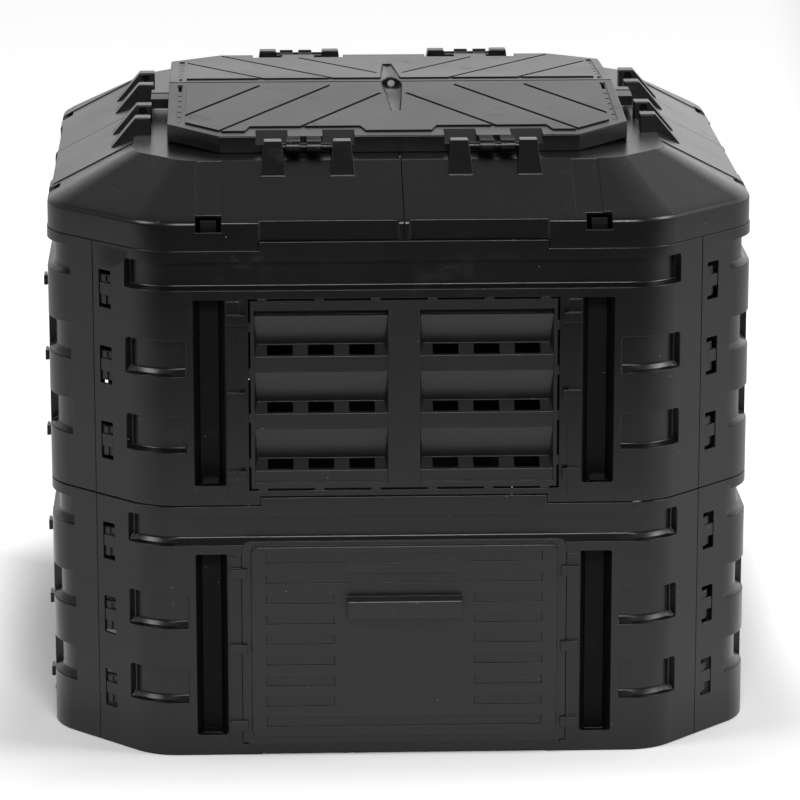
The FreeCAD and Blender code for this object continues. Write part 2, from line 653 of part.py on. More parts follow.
def make_louvre_insert(label):
    """A knock-out insert: a frame with two windows of three louvres, held by thin nibs."""
    body = start_body(label)
    half, low, high = size("insert_half"), size("opening_low") + 1, size("opening_high") - 1
    near, far = size("louvre_near"), size("louvre_far")
    depth, skin = size("louvre_depth"), size("louvre_skin")
    taper = size("cheek_taper")

    sketch = start_sketch(body, "frame_face", "XZ_Plane", half_width - wall)
    draw_rectangle(sketch, -half, half, low, high)
    pad(body, "frame", sketch, wall)

    sketch = start_sketch(body, "nib_face", "XZ_Plane", half_width - wall)
    nib = size("nib_wide") / 2
    for step in (-2.5, -1.5, -0.5, 0.5, 1.5, 2.5):
        middle = size("nib_pitch") * step
        draw_rectangle(sketch, middle - nib, middle + nib, low - 1, low + 1)
        draw_rectangle(sketch, middle - nib, middle + nib, high - 1, high + 1)
    for step in (-1.5, -0.5, 0.5, 1.5):
        middle = (low + high) / 2 + size("nib_side_pitch") * step
        draw_rectangle(sketch, -half - 1, -half + 1, middle - nib, middle + nib)
        draw_rectangle(sketch, half - 1, half + 1, middle - nib, middle + nib)
    pad(body, "nibs", sketch, size("nib_thick"))

    sketch = start_sketch(body, "window_face", "XZ_Plane", half_width + 1)
    for side in (-1, 1):
        left, right = (near, far) if side > 0 else (-far, -near)
        draw_rectangle(sketch, left, right, size("louvre_low"), size("louvre_high"))
    pocket(body, "windows", sketch, wall + 2)

    sketch = start_sketch(body, "cheek_plan", "XY_Plane", size("louvre_low"))
    set_back = size("louvre_set")
    back = set_back + depth + skin - half_width
    front = Size.of(1) - half_width
    for side in (-1, 1):
        inner = [(near - skin, front), (near + 0, front), (near + taper, back), (near - skin, back)]
        outer = [(far + 0, front), (far + skin, front), (far + skin, back), (far - taper, back)]
        for corners in (inner, outer):
            if side < 0:
                corners = [(-x, y) for x, y in reversed(corners)]
            draw_outline(sketch, corners)
    pad(body, "cheeks", sketch, size("louvre_high") - size("louvre_low"))

    lip_high, lip_rise, slope = size("lip_high"), size("lip_rise"), size("louvre_slope")
    pitch, louvre_high = size("louvre_pitch"), size("louvre_high")
    recess = size("louvre_recess")
    face = set_back - half_width
    inner = face + depth
    for side in (-1, 1):
        start = (near - 1) * side if side > 0 else (far + 1) * side
        sketch = start_sketch(body, "blade_section_%d" % (side > 0), "YZ_Plane", start)
        front_path = [(face, size("louvre_low") - 3)]
        back_path = [(face + skin, size("louvre_low") - 3)]
        for tier in range(3):
            floor = lip_high + pitch * tier
            top = floor + pitch - lip_rise if tier < 2 else louvre_high - size("louvre_top")
            front_path += [(face, floor), (inner, floor + slope), (face, top)]
            back_path += [(face + skin, floor - 2), (inner + skin, floor + slope), (face + skin, top)]
        front_path += [(face + recess, top), (face + recess, louvre_high), (ZERO + 2 - half_width, louvre_high),
                       (ZERO + 2 - half_width, louvre_high + 2.5)]
        back_path[-1] = (face + recess + skin, top - skin)
        back_path.append((face + recess + skin, louvre_high + 2.5))
        draw_outline(sketch, front_path + back_path[::-1])
        pad(body, "blades_%d" % (side > 0), sketch, far - near + 2)

    sketch = start_sketch(body, "vent_face", "XZ_Plane", half_width - set_back - 1)
    for side in (-1, 1):
        middle = (near + far) / 2 * side
        for column in (-1, 0, 1):
            for tier in range(3):
                floor = lip_high + pitch * tier
                centre = middle + size("vent_pitch") * column
                draw_rectangle(sketch, centre - size("vent_wide") / 2, centre + size("vent_wide") / 2,
                               floor + 1, floor + slope - 0.8)
    pocket(body, "vents", sketch, depth + skin + 1)
    return body


def draw_rounded_rectangle(sketch, half, low, high, radius):
    """A rectangle about x = 0 with rounded corners."""
    draw_outline(sketch, [
        (radius - half, low), (half - radius, low, radius),
        (half, low + radius), (half, high - radius, radius),
        (half - radius, high), (radius - half, high, radius),
        (-half, high - radius), (-half, low + radius, radius)])


def make_hatch(label):
    """The hatch: a flange, a raised field with grooves, and a grip with a finger hollow."""
    body = start_body(label)
    back = half_width + size("hatch_gap")
    face = back + size("hatch_skin") + size("panel_proud")
    sketch = start_sketch(body, "flange_face", "XZ_Plane", back)
    draw_rounded_rectangle(sketch, size("hatch_half"), size("hatch_low"), size("hatch_high"),
                           size("hatch_round"))
    pad(body, "flange", sketch, size("hatch_skin"))
    sketch = start_sketch(body, "field_face", "XZ_Plane", back + 1)
    draw_rounded_rectangle(sketch, size("panel_half"), size("panel_low"), size("panel_high"),
                           size("hatch_round") * 0.8)
    pad(body, "field", sketch, size("hatch_skin") + size("panel_proud") - 1)
    sketch = start_sketch(body, "hollow_face", "XZ_Plane", back)
    draw_rounded_rectangle(sketch, size("panel_half") - wall, size("panel_low") + wall,
                           size("panel_high") - wall, size("hatch_round") * 0.6)
    pocket(body, "hollow", sketch, size("panel_proud") - 1, backwards=True)

    sketch = start_sketch(body, "grip_section", "YZ_Plane", -size("grip_half"))
    reach = -face - size("grip_reach")
    top, low = size("grip_high"), size("grip_high") - size("grip_rise")
    shell = size("grip_skin")
    draw_outline(sketch, [
        (-face + 1, top + 0), (-face + 1, top - shell), (reach + shell * 1.5, top - shell),
        (reach + shell, low), (reach, low), (reach, top - shell / 2), (reach + shell / 2, top + 0)])
    pad(body, "grip", sketch, size("grip_half") * 2)
    sketch = start_sketch(body, "grip_cheek_section", "YZ_Plane", -size("grip_half"))
    draw_outline(sketch, [(-face + 1, top - 1), (-face + 1, low + 8), (reach + 1, low), (reach + 1, top - 3)])
    pad(body, "grip_cheek_left", sketch, shell)
    sketch = start_sketch(body, "grip_cheek_section_right", "YZ_Plane", size("grip_half") - shell)
    draw_outline(sketch, [(-face + 1, top - 1), (-face + 1, low + 8), (reach + 1, low), (reach + 1, top - 3)])
    pad(body, "grip_cheek_right", sketch, shell)

    sketch = start_sketch(body, "groove_face", "XZ_Plane", face + 1)
    rise, far, near = size("groove_rise"), size("groove_far"), size("groove_near")
    for low in (257.5, 230.7, 39.9):
        draw_rectangle(sketch, -far, far, Size.of(low), Size.of(low) + rise)
    for low in (203.5, 176.5, 149.5, 122, 94.5, 67):
        draw_rectangle(sketch, -far, -near, Size.of(low), Size.of(low) + rise)
        draw_rectangle(sketch, near, far, Size.of(low), Size.of(low) + rise)
    pocket(body, "grooves", sketch, size("groove_deep") + 1)
    return body


def draw_hood_outline(sketch, half, total, radius):
    """A quarter of a chamfered square: the corner at -X, -Y, cut at the seams."""
    gap = -size("seam_gap") / 2
    reach = radius * TANGENT
    corner = total - half
    slant = reach * DIAGONAL
    draw_outline(sketch, [
        (gap, gap), (-half, gap), (-half, reach - corner, radius),
        (slant - half, -corner - slant), (-corner - slant, slant - half, radius),
        (reach - corner, -half), (gap, -half)])


def offset_total(total, distance):
    """The chamfer's x plus y after moving a chamfered square's outline inwards."""
    return total - distance / DIAGONAL


def loft(body, kind, name, low_sketch, high_sketch):
    feature = body.newObject("PartDesign::" + kind, name)
    feature.Profile = low_sketch
    feature.Sections = [high_sketch]
    feature.Ruled = True
    feature.Refine = False
    low_sketch.Visibility = False
    high_sketch.Visibility = False
    return feature


def make_hood_quarter(label):
    """A quarter of the hood: skirt, shoulder, slope, ledge, collar and hinge lugs."""
    body = start_body(label)
    half, radius = size("hood_half"), size("hood_round")
    total = offset_total(half_width + size("flat_half"), half_width - half)
    shoulder, ledge = size("shoulder_half"), size("ledge_half")
    shoulder_total = offset_total(total, half - shoulder)
    lip = ring_pitch * 2
    skirt_high, shoulder_high, ledge_high = size("skirt_high"), size("shoulder_high"), size("ledge_high")
    ledge_total, ledge_round = size("ledge_sum"), size("ledge_round")
    shoulder_round = radius - (half - shoulder)

    def hood_sketch(name, height, outline_half, outline_total, outline_radius):
        sketch = start_sketch(body, name, "XY_Plane", height)
        draw_hood_outline(sketch, outline_half, outline_total, outline_radius)
        return sketch

    pad(body, "skirt", hood_sketch("skirt_plan", lip, half, total, radius), skirt_high - lip)
    loft(body, "AdditiveLoft", "shoulder",
         hood_sketch("shoulder_low", skirt_high, half, total, radius),
         hood_sketch("shoulder_top", shoulder_high, shoulder, shoulder_total, shoulder_round))
    loft(body, "AdditiveLoft", "slope",
         hood_sketch("slope_low", shoulder_high, shoulder, shoulder_total, shoulder_round),
         hood_sketch("slope_top", ledge_high, ledge, ledge_total, ledge_round))

    lug_low = ledge_high - 18
    lug_high = size("lug_high")
    inner, crest, foot = size("lug_inner"), size("lug_crest"), size("lug_foot")
    draft = size("lug_draft")
    for name, plane, turned in (("front", "XZ_Plane", False), ("side", "YZ_Plane", True)):
        lift = foot if not turned else -foot
        sketch = start_sketch(body, name + "_lug_face", plane, lift)
        for step in (0, 1):
            near = -size("lug_near") - size("lug_pitch") * step
            far = near - size("lug_wide")
            draw_outline(sketch, [(far - draft, lug_low), (near + draft, lug_low),
                                  (near, lug_high), (far, lug_high)])
        pad(body, name + "_lugs", sketch, foot - inner, backwards=not turned)

    reach = size("lug_near") + size("lug_pitch") + size("lug_wide") + draft + 2
    cut = [(-crest, lug_high), (-foot - 1, lug_high + 1), (-foot - 1, ledge_high - 16)]
    sketch = start_sketch(body, "front_lug_slope", "YZ_Plane", -reach)
    draw_outline(sketch, [(-crest, lug_high + 0.5), (-foot - 1, lug_high + 0.5),
                          (-foot - 1, ledge_high - (foot + 1 - ledge) / 2)])
    pocket(body, "front_lug_faces", sketch, reach, backwards=True)
    sketch = start_sketch(body, "side_lug_slope", "XZ_Plane", reach)
    draw_outline(sketch, [(-crest, lug_high + 0.5), (-foot - 1, lug_high + 0.5),
                          (-foot - 1, ledge_high - (foot + 1 - ledge) / 2)])
    pocket(body, "side_lug_faces", sketch, reach)

    inner_total = offset_total(total, wall)
    pocket_skirt = hood_sketch("skirt_hollow_plan", skirt_high - 2, half - wall, inner_total, radius - wall)
    pocket(body, "skirt_hollow", pocket_skirt, skirt_high - lip)
    loft(body, "SubtractiveLoft", "shoulder_hollow",
         hood_sketch("shoulder_hollow_low", skirt_high - 2, half - wall, inner_total, radius - wall),
         hood_sketch("shoulder_hollow_top", shoulder_high - 3, shoulder - wall,
                     offset_total(shoulder_total, wall), shoulder_round - wall))
    loft(body, "SubtractiveLoft", "slope_hollow",
         hood_sketch("slope_hollow_low", shoulder_high - 3, shoulder - wall,
                     offset_total(shoulder_total, wall), shoulder_round - wall),
         hood_sketch("slope_hollow_top", ledge_high - wall, ledge - 2,
                     offset_total(ledge_total, Size.of(2)), ledge_round - 2))

    collar, collar_total = size("collar_half"), size("collar_sum")
    collar_plan = hood_sketch("collar_plan", ledge_high - 2, collar, collar_total, Size.of(20))
    pad(body, "collar", collar_plan, size("collar_high") - ledge_high + 2)
    mouth = hood_sketch("mouth_plan", size("collar_high") + 1, collar - wall,
                        offset_total(collar_total, wall), Size.of(16))
    pocket(body, "mouth", mouth, size("collar_high") - ledge_high + wall + 4)

    inset = size("middle_inset")
    rim = size("rim_half") + 1
    lip_middle = lip + size("rim_rise")
    for name, turned in (("front", False), ("side", True)):
        plane = "XZ_Plane" if not turned else "YZ_Plane"
        face = half - inset
        gap = -size("seam_gap") / 2
        sketch = start_sketch(body, name + "_middle_face", plane, face if not turned else -face)
        draw_rectangle(sketch, -rim, gap, lip_middle, skirt_high)
        pad(body, name + "_middle", sketch, wall, backwards=not turned)
        sketch = start_sketch(body, name + "_middle_plan", "XY_Plane", skirt_high + 2)
        rib = size("seam_rib")
        corners = [(-rim, -half - 0.5), (-rib, -half - 0.5), (-rib - inset, -face), (inset - rim, -face)]
        if turned:
            corners = [(y, x) for x, y in reversed(corners)]
        draw_outline(sketch, corners)
        pocket(body, name + "_middle_inset", sketch, skirt_high + 2 - lip + 1)
        sketch = start_sketch(body, name + "_lip_face", plane, half + 1 if not turned else -half - 1)
        draw_rectangle(sketch, -rim, ZERO + 1, lip - 1, lip_middle)
        pocket(body, name + "_lip", sketch, wall + 2, backwards=turned)
        sketch = start_sketch(body, name + "_clip_face", plane, half + 1 if not turned else -half - 1)
        middle = -size("tongue_middle")
        draw_rectangle(sketch, middle - size("clip_half"), middle + size("clip_half"),
                       size("clip_low"), size("clip_high"))
        pocket(body, name + "_clip", sketch, wall * 4, backwards=turned)

    channel = size("channel_deep")
    slope = [(-shoulder - 8, shoulder_high - 4 - channel), (-ledge, ledge_high - channel),
             (-ledge, ledge_high + 2), (-shoulder - 8, ledge_high + 2)]
    for name, plane, near in (("front", "YZ_Plane", size("front_channel")),
                              ("side", "XZ_Plane", size("side_channel"))):
        wide = size("channel_wide")
        lift = -near - wide if plane == "YZ_Plane" else near + wide
        sketch = start_sketch(body, name + "_channel_section", plane, lift)
        draw_outline(sketch, slope)
        pocket(body, name + "_channel", sketch, wide, backwards=plane == "YZ_Plane")

    socket = size("socket_radius")
    deep = size("socket_deep")
    far_side = size("lug_near") + size("lug_pitch") + deep
    near_side = size("lug_near") + size("lug_wide") - deep
    sketch = start_sketch(body, "front_socket_face", "YZ_Plane", -far_side)
    draw_circle(sketch, -size("hinge_radius"), size("hinge_high"), socket)
    pocket(body, "front_sockets", sketch, far_side - near_side, backwards=True)
    sketch = start_sketch(body, "side_socket_face", "XZ_Plane", far_side)
    draw_circle(sketch, -size("hinge_radius"), size("hinge_high"), socket)
    pocket(body, "side_sockets", sketch, far_side - near_side)
    return body


def make_flap(label):
    """A flap, drawn flat with its top at z = 0 and its free edge at y = 0:
    plate, skirts, coves round the lugs, knuckles with pegs, ears, scoop and lock eye."""
    body = start_body(label)
    half, flat = size("flap_half"), size("flap_flat")
    rise = size("flap_rise")
    skin, skirt = size("flap_skin"), size("flap_skirt")
    edge = -size("split_gap")
    long = half
    lean_length = math.hypot(rise.number, half.number)
    lean_cosine = half.number / lean_length
    lean_sine = rise.number / lean_length

    sketch = start_sketch(body, "plate_plan", "XY_Plane", ZERO)
    draw_outline(sketch, [(-half, edge), (-half, -flat), (-flat, -long), (flat, -long),
                          (half, -flat), (half, edge)])
    pad(body, "plate", sketch, skin, backwards=True)

    step = size("field_rise")
    field, field_long, field_sum = size("field_half"), size("field_long"), size("field_sum")
    back = field_long - size("bracket_step")
    wide, narrow = size("bracket_outer"), size("bracket_inner")
    right_side = [(field, -size("rim_strip")), (field, field - field_sum), (field_sum - field_long, -field_long),
                  (wide, -field_long), (wide - 7, -back), (narrow + 7, -back), (narrow, -field_long)]
    left_side = [(-corner[0], corner[1]) for corner in reversed(right_side)]
    sketch = start_sketch(body, "field_plan", "XY_Plane", ZERO - 1)
    draw_outline(sketch, list(reversed(right_side + left_side)))
    pad(body, "field", sketch, step + 1)

    def scoop_section(name, back, half_wide, deep):
        """A segment of a circle that opens upwards."""
        sketch = start_sketch(body, name, "XZ_Plane", back)
        rise_to_chord = deep.number + 3
        radius = (half_wide.number ** 2 + rise_to_chord ** 2) / (2 * rise_to_chord)
        draw_outline(sketch, [(-half_wide, ZERO + 3, Size.of(radius)), (half_wide, ZERO + 3)])
        return sketch

    scoop, deep, end_half = size("scoop_half"), size("scoop_deep"), size("scoop_half") / 2
    shell = size("flap_wall")
    sketch = start_sketch(body, "scoop_shell_face", "XZ_Plane", -edge)
    draw_rectangle(sketch, -scoop - shell, scoop + shell, -deep - shell, ZERO - 1)
    sketch_end = start_sketch(body, "scoop_shell_end", "XZ_Plane", size("scoop_long"))
    draw_rectangle(sketch_end, -end_half - shell, end_half + shell, -skin - 0.4, ZERO - 1)
    loft(body, "AdditiveLoft", "scoop_shell", sketch, sketch_end)
    loft(body, "SubtractiveLoft", "scoop",
         scoop_section("scoop_face", edge * 0 - 1, scoop, deep),
         scoop_section("scoop_end", size("scoop_long"), end_half, Size.of(0.6)))

    eye, eye_rise = size("eye_half"), size("eye_rise")
    shoulder = Size.of(-4)
    rise_above = eye_rise.number - shoulder.number
    eye_radius = (eye.number ** 2 + rise_above ** 2) / (2 * rise_above)
    sketch = start_sketch(body, "eye_face", "XZ_Plane", -edge)
    draw_outline(sketch, [(-eye, -deep - 0.5), (eye, -deep - 0.5), (eye, shoulder, Size.of(eye_radius)),
                          (-eye, shoulder)])
    pad(body, "eye", sketch, size("eye_thick"))
    sketch = start_sketch(body, "eye_hole_face", "XZ_Plane", -edge + size("eye_thick") + 1)
    draw_circle(sketch, ZERO, Size.of(-2.5), size("eye_hole"))
    pocket(body, "eye_hole", sketch, size("eye_thick") + 2)

    edge_wall = size("flap_wall")
    for name, start in (("left", -half), ("right", half - edge_wall)):
        sketch = start_sketch(body, name + "_skirt_section", "YZ_Plane", start)
        flat_drop = -skirt - rise * (1 - flat.number / half.number)
        upright = (skirt + rise) * (rise.number / half.number)
        draw_outline(sketch, [(edge, ZERO - 1), (-flat, ZERO - 1), (-flat, flat_drop),
                              (edge - upright, -skirt - rise)])
        pad(body, name + "_skirt", sketch, edge_wall)
    for name, side in (("left", -1), ("right", 1)):
        sketch = start_sketch(body, name + "_chamfer_plan", "XY_Plane", ZERO - 1)
        inset = edge_wall * TANGENT
        corners = [(half * side, -flat), (flat * side, -long), ((flat - inset) * side, edge_wall - long),
                   ((half - edge_wall) * side, inset - flat)]
        if side > 0:
            corners.reverse()
        draw_outline(sketch, corners)
        pad(body, name + "_chamfer", sketch, skirt - 1, backwards=True)
    sketch = start_sketch(body, "hinge_skirt_plan", "XY_Plane", ZERO - 1)
    draw_rectangle(sketch, -flat, flat, -long, edge_wall - long)
    pad(body, "hinge_skirt", sketch, skirt - 1, backwards=True)

    ear, ear_start, ear_long = size("ear_reach"), size("ear_start"), size("ear_long")
    for name, side in (("left", -1), ("right", 1)):
        for stage, margin in (("ear", ZERO), ("ear_hollow", shell)):
            near_x, far_x = half - 1.5 if stage == "ear" else half + 0, half + ear - margin
            left, right = (near_x, far_x) if side > 0 else (-far_x, -near_x)
            sketch = start_sketch(body, "%s_%s_plan" % (name, stage), "XY_Plane",
                                  -size("ear_drop") - margin if stage == "ear" else -size("ear_drop") - 20)
            draw_rectangle(sketch, left, right, -ear_start - ear_long + margin, -ear_start - margin)
            if stage == "ear":
                pad(body, "%s_ear" % name, sketch, Size.of(13), backwards=True)
            else:
                pocket(body, "%s_ear_hollow" % name, sketch, Size.of(20) - shell, backwards=True)

    half_line = size("line_wide") / 2
    lean = math.radians(59.0)
    sketch = start_sketch(body, "ray_plan", "XY_Plane", step)
    for side in (-1, 1):
        for start_x, start_y, length in ((17, -74, 206), (78, -21, 292), (171, -21, 204)):
            along = (math.cos(lean) * side, -math.sin(lean))
            across = (-along[1] * half_line, half_line * along[0])
            near_x, near_y = Size.of(start_x * side), Size.of(start_y)
            far_x, far_y = near_x + length * along[0], near_y + length * along[1]
            draw_outline(sketch, [(near_x + across[0], near_y + across[1]),
                                  (near_x - across[0], near_y - across[1]),
                                  (far_x - across[0], far_y - across[1]),
                                  (far_x + across[0], far_y + across[1])])
    pocket(body, "rays", sketch, size("line_deep"))

    strip, hole = size("vent_strip"), size("vent_hole") / 2
    sketch = start_sketch(body, "vent_strip_plan", "XY_Plane", ZERO)
    for side in (-1, 1):
        draw_rectangle(sketch, strip * side - hole - 1.5, strip * side + hole + 1.5, -222, -16)
    pocket(body, "vent_strips", sketch, size("line_deep"))
    sketch = start_sketch(body, "vent_hole_plan", "XY_Plane", ZERO)
    for side in (-1, 1):
        for number in range(6):
            draw_rectangle(sketch, strip * side - hole, strip * side + hole,
                           hole * -1 - 216 + number * 29, hole - 216 + number * 29)
        draw_rectangle(sketch, strip * side - hole, strip * side + hole, -46, -18)
    pocket(body, "vent_holes", sketch, skin + 1)

    cove_back, cove_drop, cove_half = size("cove_back"), size("cove_drop"), size("cove_half")
    for number, (side, alias) in enumerate(((-1, "cove_outer"), (-1, "cove_inner"),
                                            (1, "cove_inner"), (1, "cove_outer"))):
        start = size(alias) * side - cove_half
        sketch = start_sketch(body, "cove_floor_section_%d" % number, "YZ_Plane", start - 3)
        draw_outline(sketch, [(cove_back - long, ZERO - 0.5), (ZERO - long, ZERO - 0.5),
                              (ZERO - long, -cove_drop - skin), (skin - long, -cove_drop - skin),
                              (cove_back - long, -skin)])
        pad(body, "cove_floor_%d" % number, sketch, cove_half * 2 + 6)
        sketch = start_sketch(body, "cove_section_%d" % number, "YZ_Plane", start)
        draw_outline(sketch, [(cove_back - long, ZERO + 0.01), (-long - 1, ZERO + 0.01),
                              (-long - 1, -cove_drop), (-long, -cove_drop)])
        pocket(body, "cove_%d" % number, sketch, cove_half * 2, backwards=True)

    near, far, slot = size("knuckle_near"), size("knuckle_far"), size("knuckle_slot")
    middle = (near + far) / 2
    out, down = size("hinge_radius") - half, size("flap_edge_high") - size("hinge_high")
    axis_y = -half - out * lean_cosine - down * lean_sine
    axis_z = out * lean_sine - down * lean_cosine
    for number, side in enumerate((-1, 1)):
        for part, (inner, outer) in enumerate(((near, middle - slot / 2), (middle + slot / 2, far))):
            start = inner if side > 0 else -outer
            sketch = start_sketch(body, "knuckle_arm_plan_%d%d" % (number, part), "YZ_Plane", start)
            draw_outline(sketch, [(axis_y, ZERO + 0.6), (-long + 1, ZERO - 0.1), (-long + 1, -skin - 6),
                                  (axis_y, axis_z - size("knuckle_radius") + 3)])
            pad(body, "knuckle_arm_%d%d" % (number, part), sketch, outer - inner)
            sketch = start_sketch(body, "knuckle_section_%d%d" % (number, part), "YZ_Plane", start)
            draw_circle(sketch, axis_y, axis_z, size("knuckle_radius"))
            pad(body, "knuckle_%d%d" % (number, part), sketch, outer - inner)
        lug_far = size("lug_near") + size("lug_pitch") + size("peg_reach")
        lug_near = size("lug_near") + size("lug_wide") - size("peg_reach")
        start = lug_near if side > 0 else -lug_far
        sketch = start_sketch(body, "peg_section_%d" % number, "YZ_Plane", start)
        draw_circle(sketch, axis_y, axis_z, size("peg_radius"))
        pad(body, "pegs_%d" % number, sketch, lug_far - lug_near)
    return body


def place(shape, name, turn=0.0, lift=0.0):
    """A finished piece: a copy of a moulding's shape, turned about the bin's middle."""
    piece = document.addObject("Part::Feature", name)
    piece.Label = name
    piece.Shape = shape
    piece.Placement = FreeCAD.Placement(
        FreeCAD.Vector(0, 0, lift), FreeCAD.Rotation(FreeCAD.Vector(0, 0, 1), turn))
    return piece


rim_play = size("rim_play")
panel_master = make_ring_panel("ring_panel_moulding")
upper_master = finish_panel("upper_panel_moulding", panel_master, size("rim_rise") + rim_play, False)
lower_master = finish_panel("lower_panel_moulding", panel_master, size("foot_relief"), True)
insert_master = make_louvre_insert("louvre_insert_moulding")
hood_master = make_hood_quarter("hood_quarter_moulding")
flap_master = make_flap("flap_moulding")
hatch_master = make_hatch("hatch_door")
document.recompute()

SIDES = [("front", 0), ("right", 90), ("rear", 180), ("left", 270)]
pieces = [hatch_master]
for side_name, angle in SIDES:
    pieces.append(place(lower_master.Shape, "lower_%s_panel" % side_name, angle))
    pieces.append(place(upper_master.Shape, "upper_%s_panel" % side_name, angle, ring_pitch.number))
    pieces.append(place(insert_master.Shape, "upper_%s_louvre" % side_name, angle, ring_pitch.number))
    if side_name != "front":
        pieces.append(place(insert_master.Shape, "lower_%s_louvre" % side_name, angle))

for quarter_name, angle in (("front_left", 0), ("front_right", 90), ("rear_right", 180), ("rear_left", 270)):
    pieces.append(place(hood_master.Shape, "hood_%s" % quarter_name, angle))

tilt = math.degrees(math.atan2(size("flap_rise").number, size("flap_half").number))
pivot = FreeCAD.Placement(
    FreeCAD.Vector(0, -size("flap_half").number, size("flap_edge_high").number),
    FreeCAD.Rotation(FreeCAD.Vector(1, 0, 0), tilt))
settle = pivot * FreeCAD.Placement(FreeCAD.Vector(0, size("flap_half").number, 0), FreeCAD.Rotation())
for flap_name, angle in (("front_flap", 0), ("rear_flap", 180)):
    flap = place(flap_master.Shape, flap_name)
    flap.Placement = FreeCAD.Placement(
        FreeCAD.Vector(0, 0, 0), FreeCAD.Rotation(FreeCAD.Vector(0, 0, 1), angle)) * settle
    pieces.append(flap)
document.recompute()

for item in document.Objects:
    if "Invalid" in item.State or "Error" in item.State:
        raise RuntimeError("%s did not build: %s" % (item.Name, item.State))
for piece in pieces:
    if piece.Shape.isNull() or not piece.Shape.isValid():
        raise RuntimeError("%s has no valid shape" % piece.Label)
    if len(piece.Shape.Solids) != 1:
        raise RuntimeError("%s has %d solids" % (piece.Label, len(piece.Shape.Solids)))

os.makedirs("parts", exist_ok=True)
for piece in pieces:
    piece.Shape.exportStep("parts/%s.step" % piece.Label)
    box = piece.Shape.BoundBox
    print("%-22s %8.1f cm3  %7.1f %7.1f %7.1f to %7.1f %7.1f %7.1f" % (
        piece.Label, piece.Shape.Volume / 1000, box.XMin, box.YMin, box.ZMin,
        box.XMax, box.YMax, box.ZMax))
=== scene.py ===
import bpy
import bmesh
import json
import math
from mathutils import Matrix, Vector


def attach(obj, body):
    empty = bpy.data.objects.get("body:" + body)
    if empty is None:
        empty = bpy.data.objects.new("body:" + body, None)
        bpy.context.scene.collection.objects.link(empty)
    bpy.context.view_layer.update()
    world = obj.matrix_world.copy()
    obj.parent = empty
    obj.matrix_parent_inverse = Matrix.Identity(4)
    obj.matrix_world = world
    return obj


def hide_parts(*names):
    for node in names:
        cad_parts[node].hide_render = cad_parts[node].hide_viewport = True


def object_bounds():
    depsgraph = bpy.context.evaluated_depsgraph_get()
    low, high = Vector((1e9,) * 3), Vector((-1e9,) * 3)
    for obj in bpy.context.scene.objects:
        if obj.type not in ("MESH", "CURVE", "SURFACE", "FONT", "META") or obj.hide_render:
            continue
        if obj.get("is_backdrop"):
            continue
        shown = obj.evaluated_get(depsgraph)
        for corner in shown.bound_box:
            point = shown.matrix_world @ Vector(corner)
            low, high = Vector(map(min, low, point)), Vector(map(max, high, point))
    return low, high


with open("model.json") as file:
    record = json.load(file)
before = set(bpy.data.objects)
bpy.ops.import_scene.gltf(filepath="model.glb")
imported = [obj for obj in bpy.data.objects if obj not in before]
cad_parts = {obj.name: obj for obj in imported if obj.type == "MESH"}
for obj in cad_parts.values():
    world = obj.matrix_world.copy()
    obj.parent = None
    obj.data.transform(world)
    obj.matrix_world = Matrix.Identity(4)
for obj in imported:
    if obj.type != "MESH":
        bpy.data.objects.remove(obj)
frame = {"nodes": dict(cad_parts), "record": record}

# %% [markdown]
# # A black compost bin of snap-together panels
# The bin is twenty-two injection mouldings in black polypropylene. Their shapes come with
# the frame. This lesson gives each moulding the rounded edges that a real mould leaves,
# makes the plastic from small shader groups, and builds the plain studio round it.

MM = 0.001
nodes = frame["nodes"]
body_of_node = {}
for body_name, members in frame["record"]["behaviour"]["bodies"].items():
    for member in members:
        body_of_node[member] = body_name
solid_box = [list(corner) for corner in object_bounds()]
print("solids from", solid_box[0], "to", solid_box[1])

# %% [markdown]
# ## Helpers for shader nodes
# A material is a small network. A few short helpers keep the cells readable: one adds a node
# and sets its values, one makes a group with named sockets, one links or sets a socket, and
# three add the kinds of node that every network here needs: sums, ramps and mixed colours.

# %% Node helpers


def add_node(tree, kind, **values):
    """Adds a node; values name its sockets or its own settings."""
    node = tree.nodes.new(kind)
    for name, value in values.items():
        socket = node.inputs.get(name.replace("_", " "))
        if socket is not None:
            socket.default_value = value
        else:
            setattr(node, name, value)
    return node


def new_group(name, inputs, outputs):
    """A shader group with float inputs {name: default} and a list of float outputs."""
    group = bpy.data.node_groups.new(name, "ShaderNodeTree")
    for socket_name, default in inputs.items():
        socket = group.interface.new_socket(socket_name, in_out="INPUT", socket_type="NodeSocketFloat")
        socket.default_value = default
    for socket_name in outputs:
        group.interface.new_socket(socket_name, in_out="OUTPUT", socket_type="NodeSocketFloat")
    return group


def fill(tree, socket, value):
    """Links a socket to another node's output, or sets it to a plain value."""
    if isinstance(value, bpy.types.NodeSocket):
        tree.links.new(value, socket)
    else:
        socket.default_value = value


def combined(tree, operation, *values):
    """The output of one math node."""
    node = add_node(tree, "ShaderNodeMath", operation=operation)
    for socket, value in zip(node.inputs, values):
        fill(tree, socket, value)
    return node.outputs[0]


def ramped(tree, value, low, high, start=0.0, end=1.0, kind="SMOOTHSTEP"):
    """A change from start to end while value goes from low to high."""
    node = add_node(tree, "ShaderNodeMapRange", interpolation_type=kind)
    for name, number in (("From Min", low), ("From Max", high), ("To Min", start), ("To Max", end)):
        node.inputs[name].default_value = number
    tree.links.new(value, node.inputs["Value"])
    return node.outputs["Result"]


SHARE_IN, FIRST_COLOUR_IN, SECOND_COLOUR_IN, COLOUR_OUT = 0, 6, 7, 2


def mixed(tree, share, first, second):
    """The colour between two colours; the first shows where share is 0. A Mix node's sockets
    for numbers, vectors and colours have the same names, so they are picked by number."""
    node = add_node(tree, "ShaderNodeMix", data_type="RGBA")
    fill(tree, node.inputs[SHARE_IN], share)
    fill(tree, node.inputs[FIRST_COLOUR_IN], first)
    fill(tree, node.inputs[SECOND_COLOUR_IN], second)
    return node.outputs[COLOUR_OUT]


print("helpers for nodes are ready")

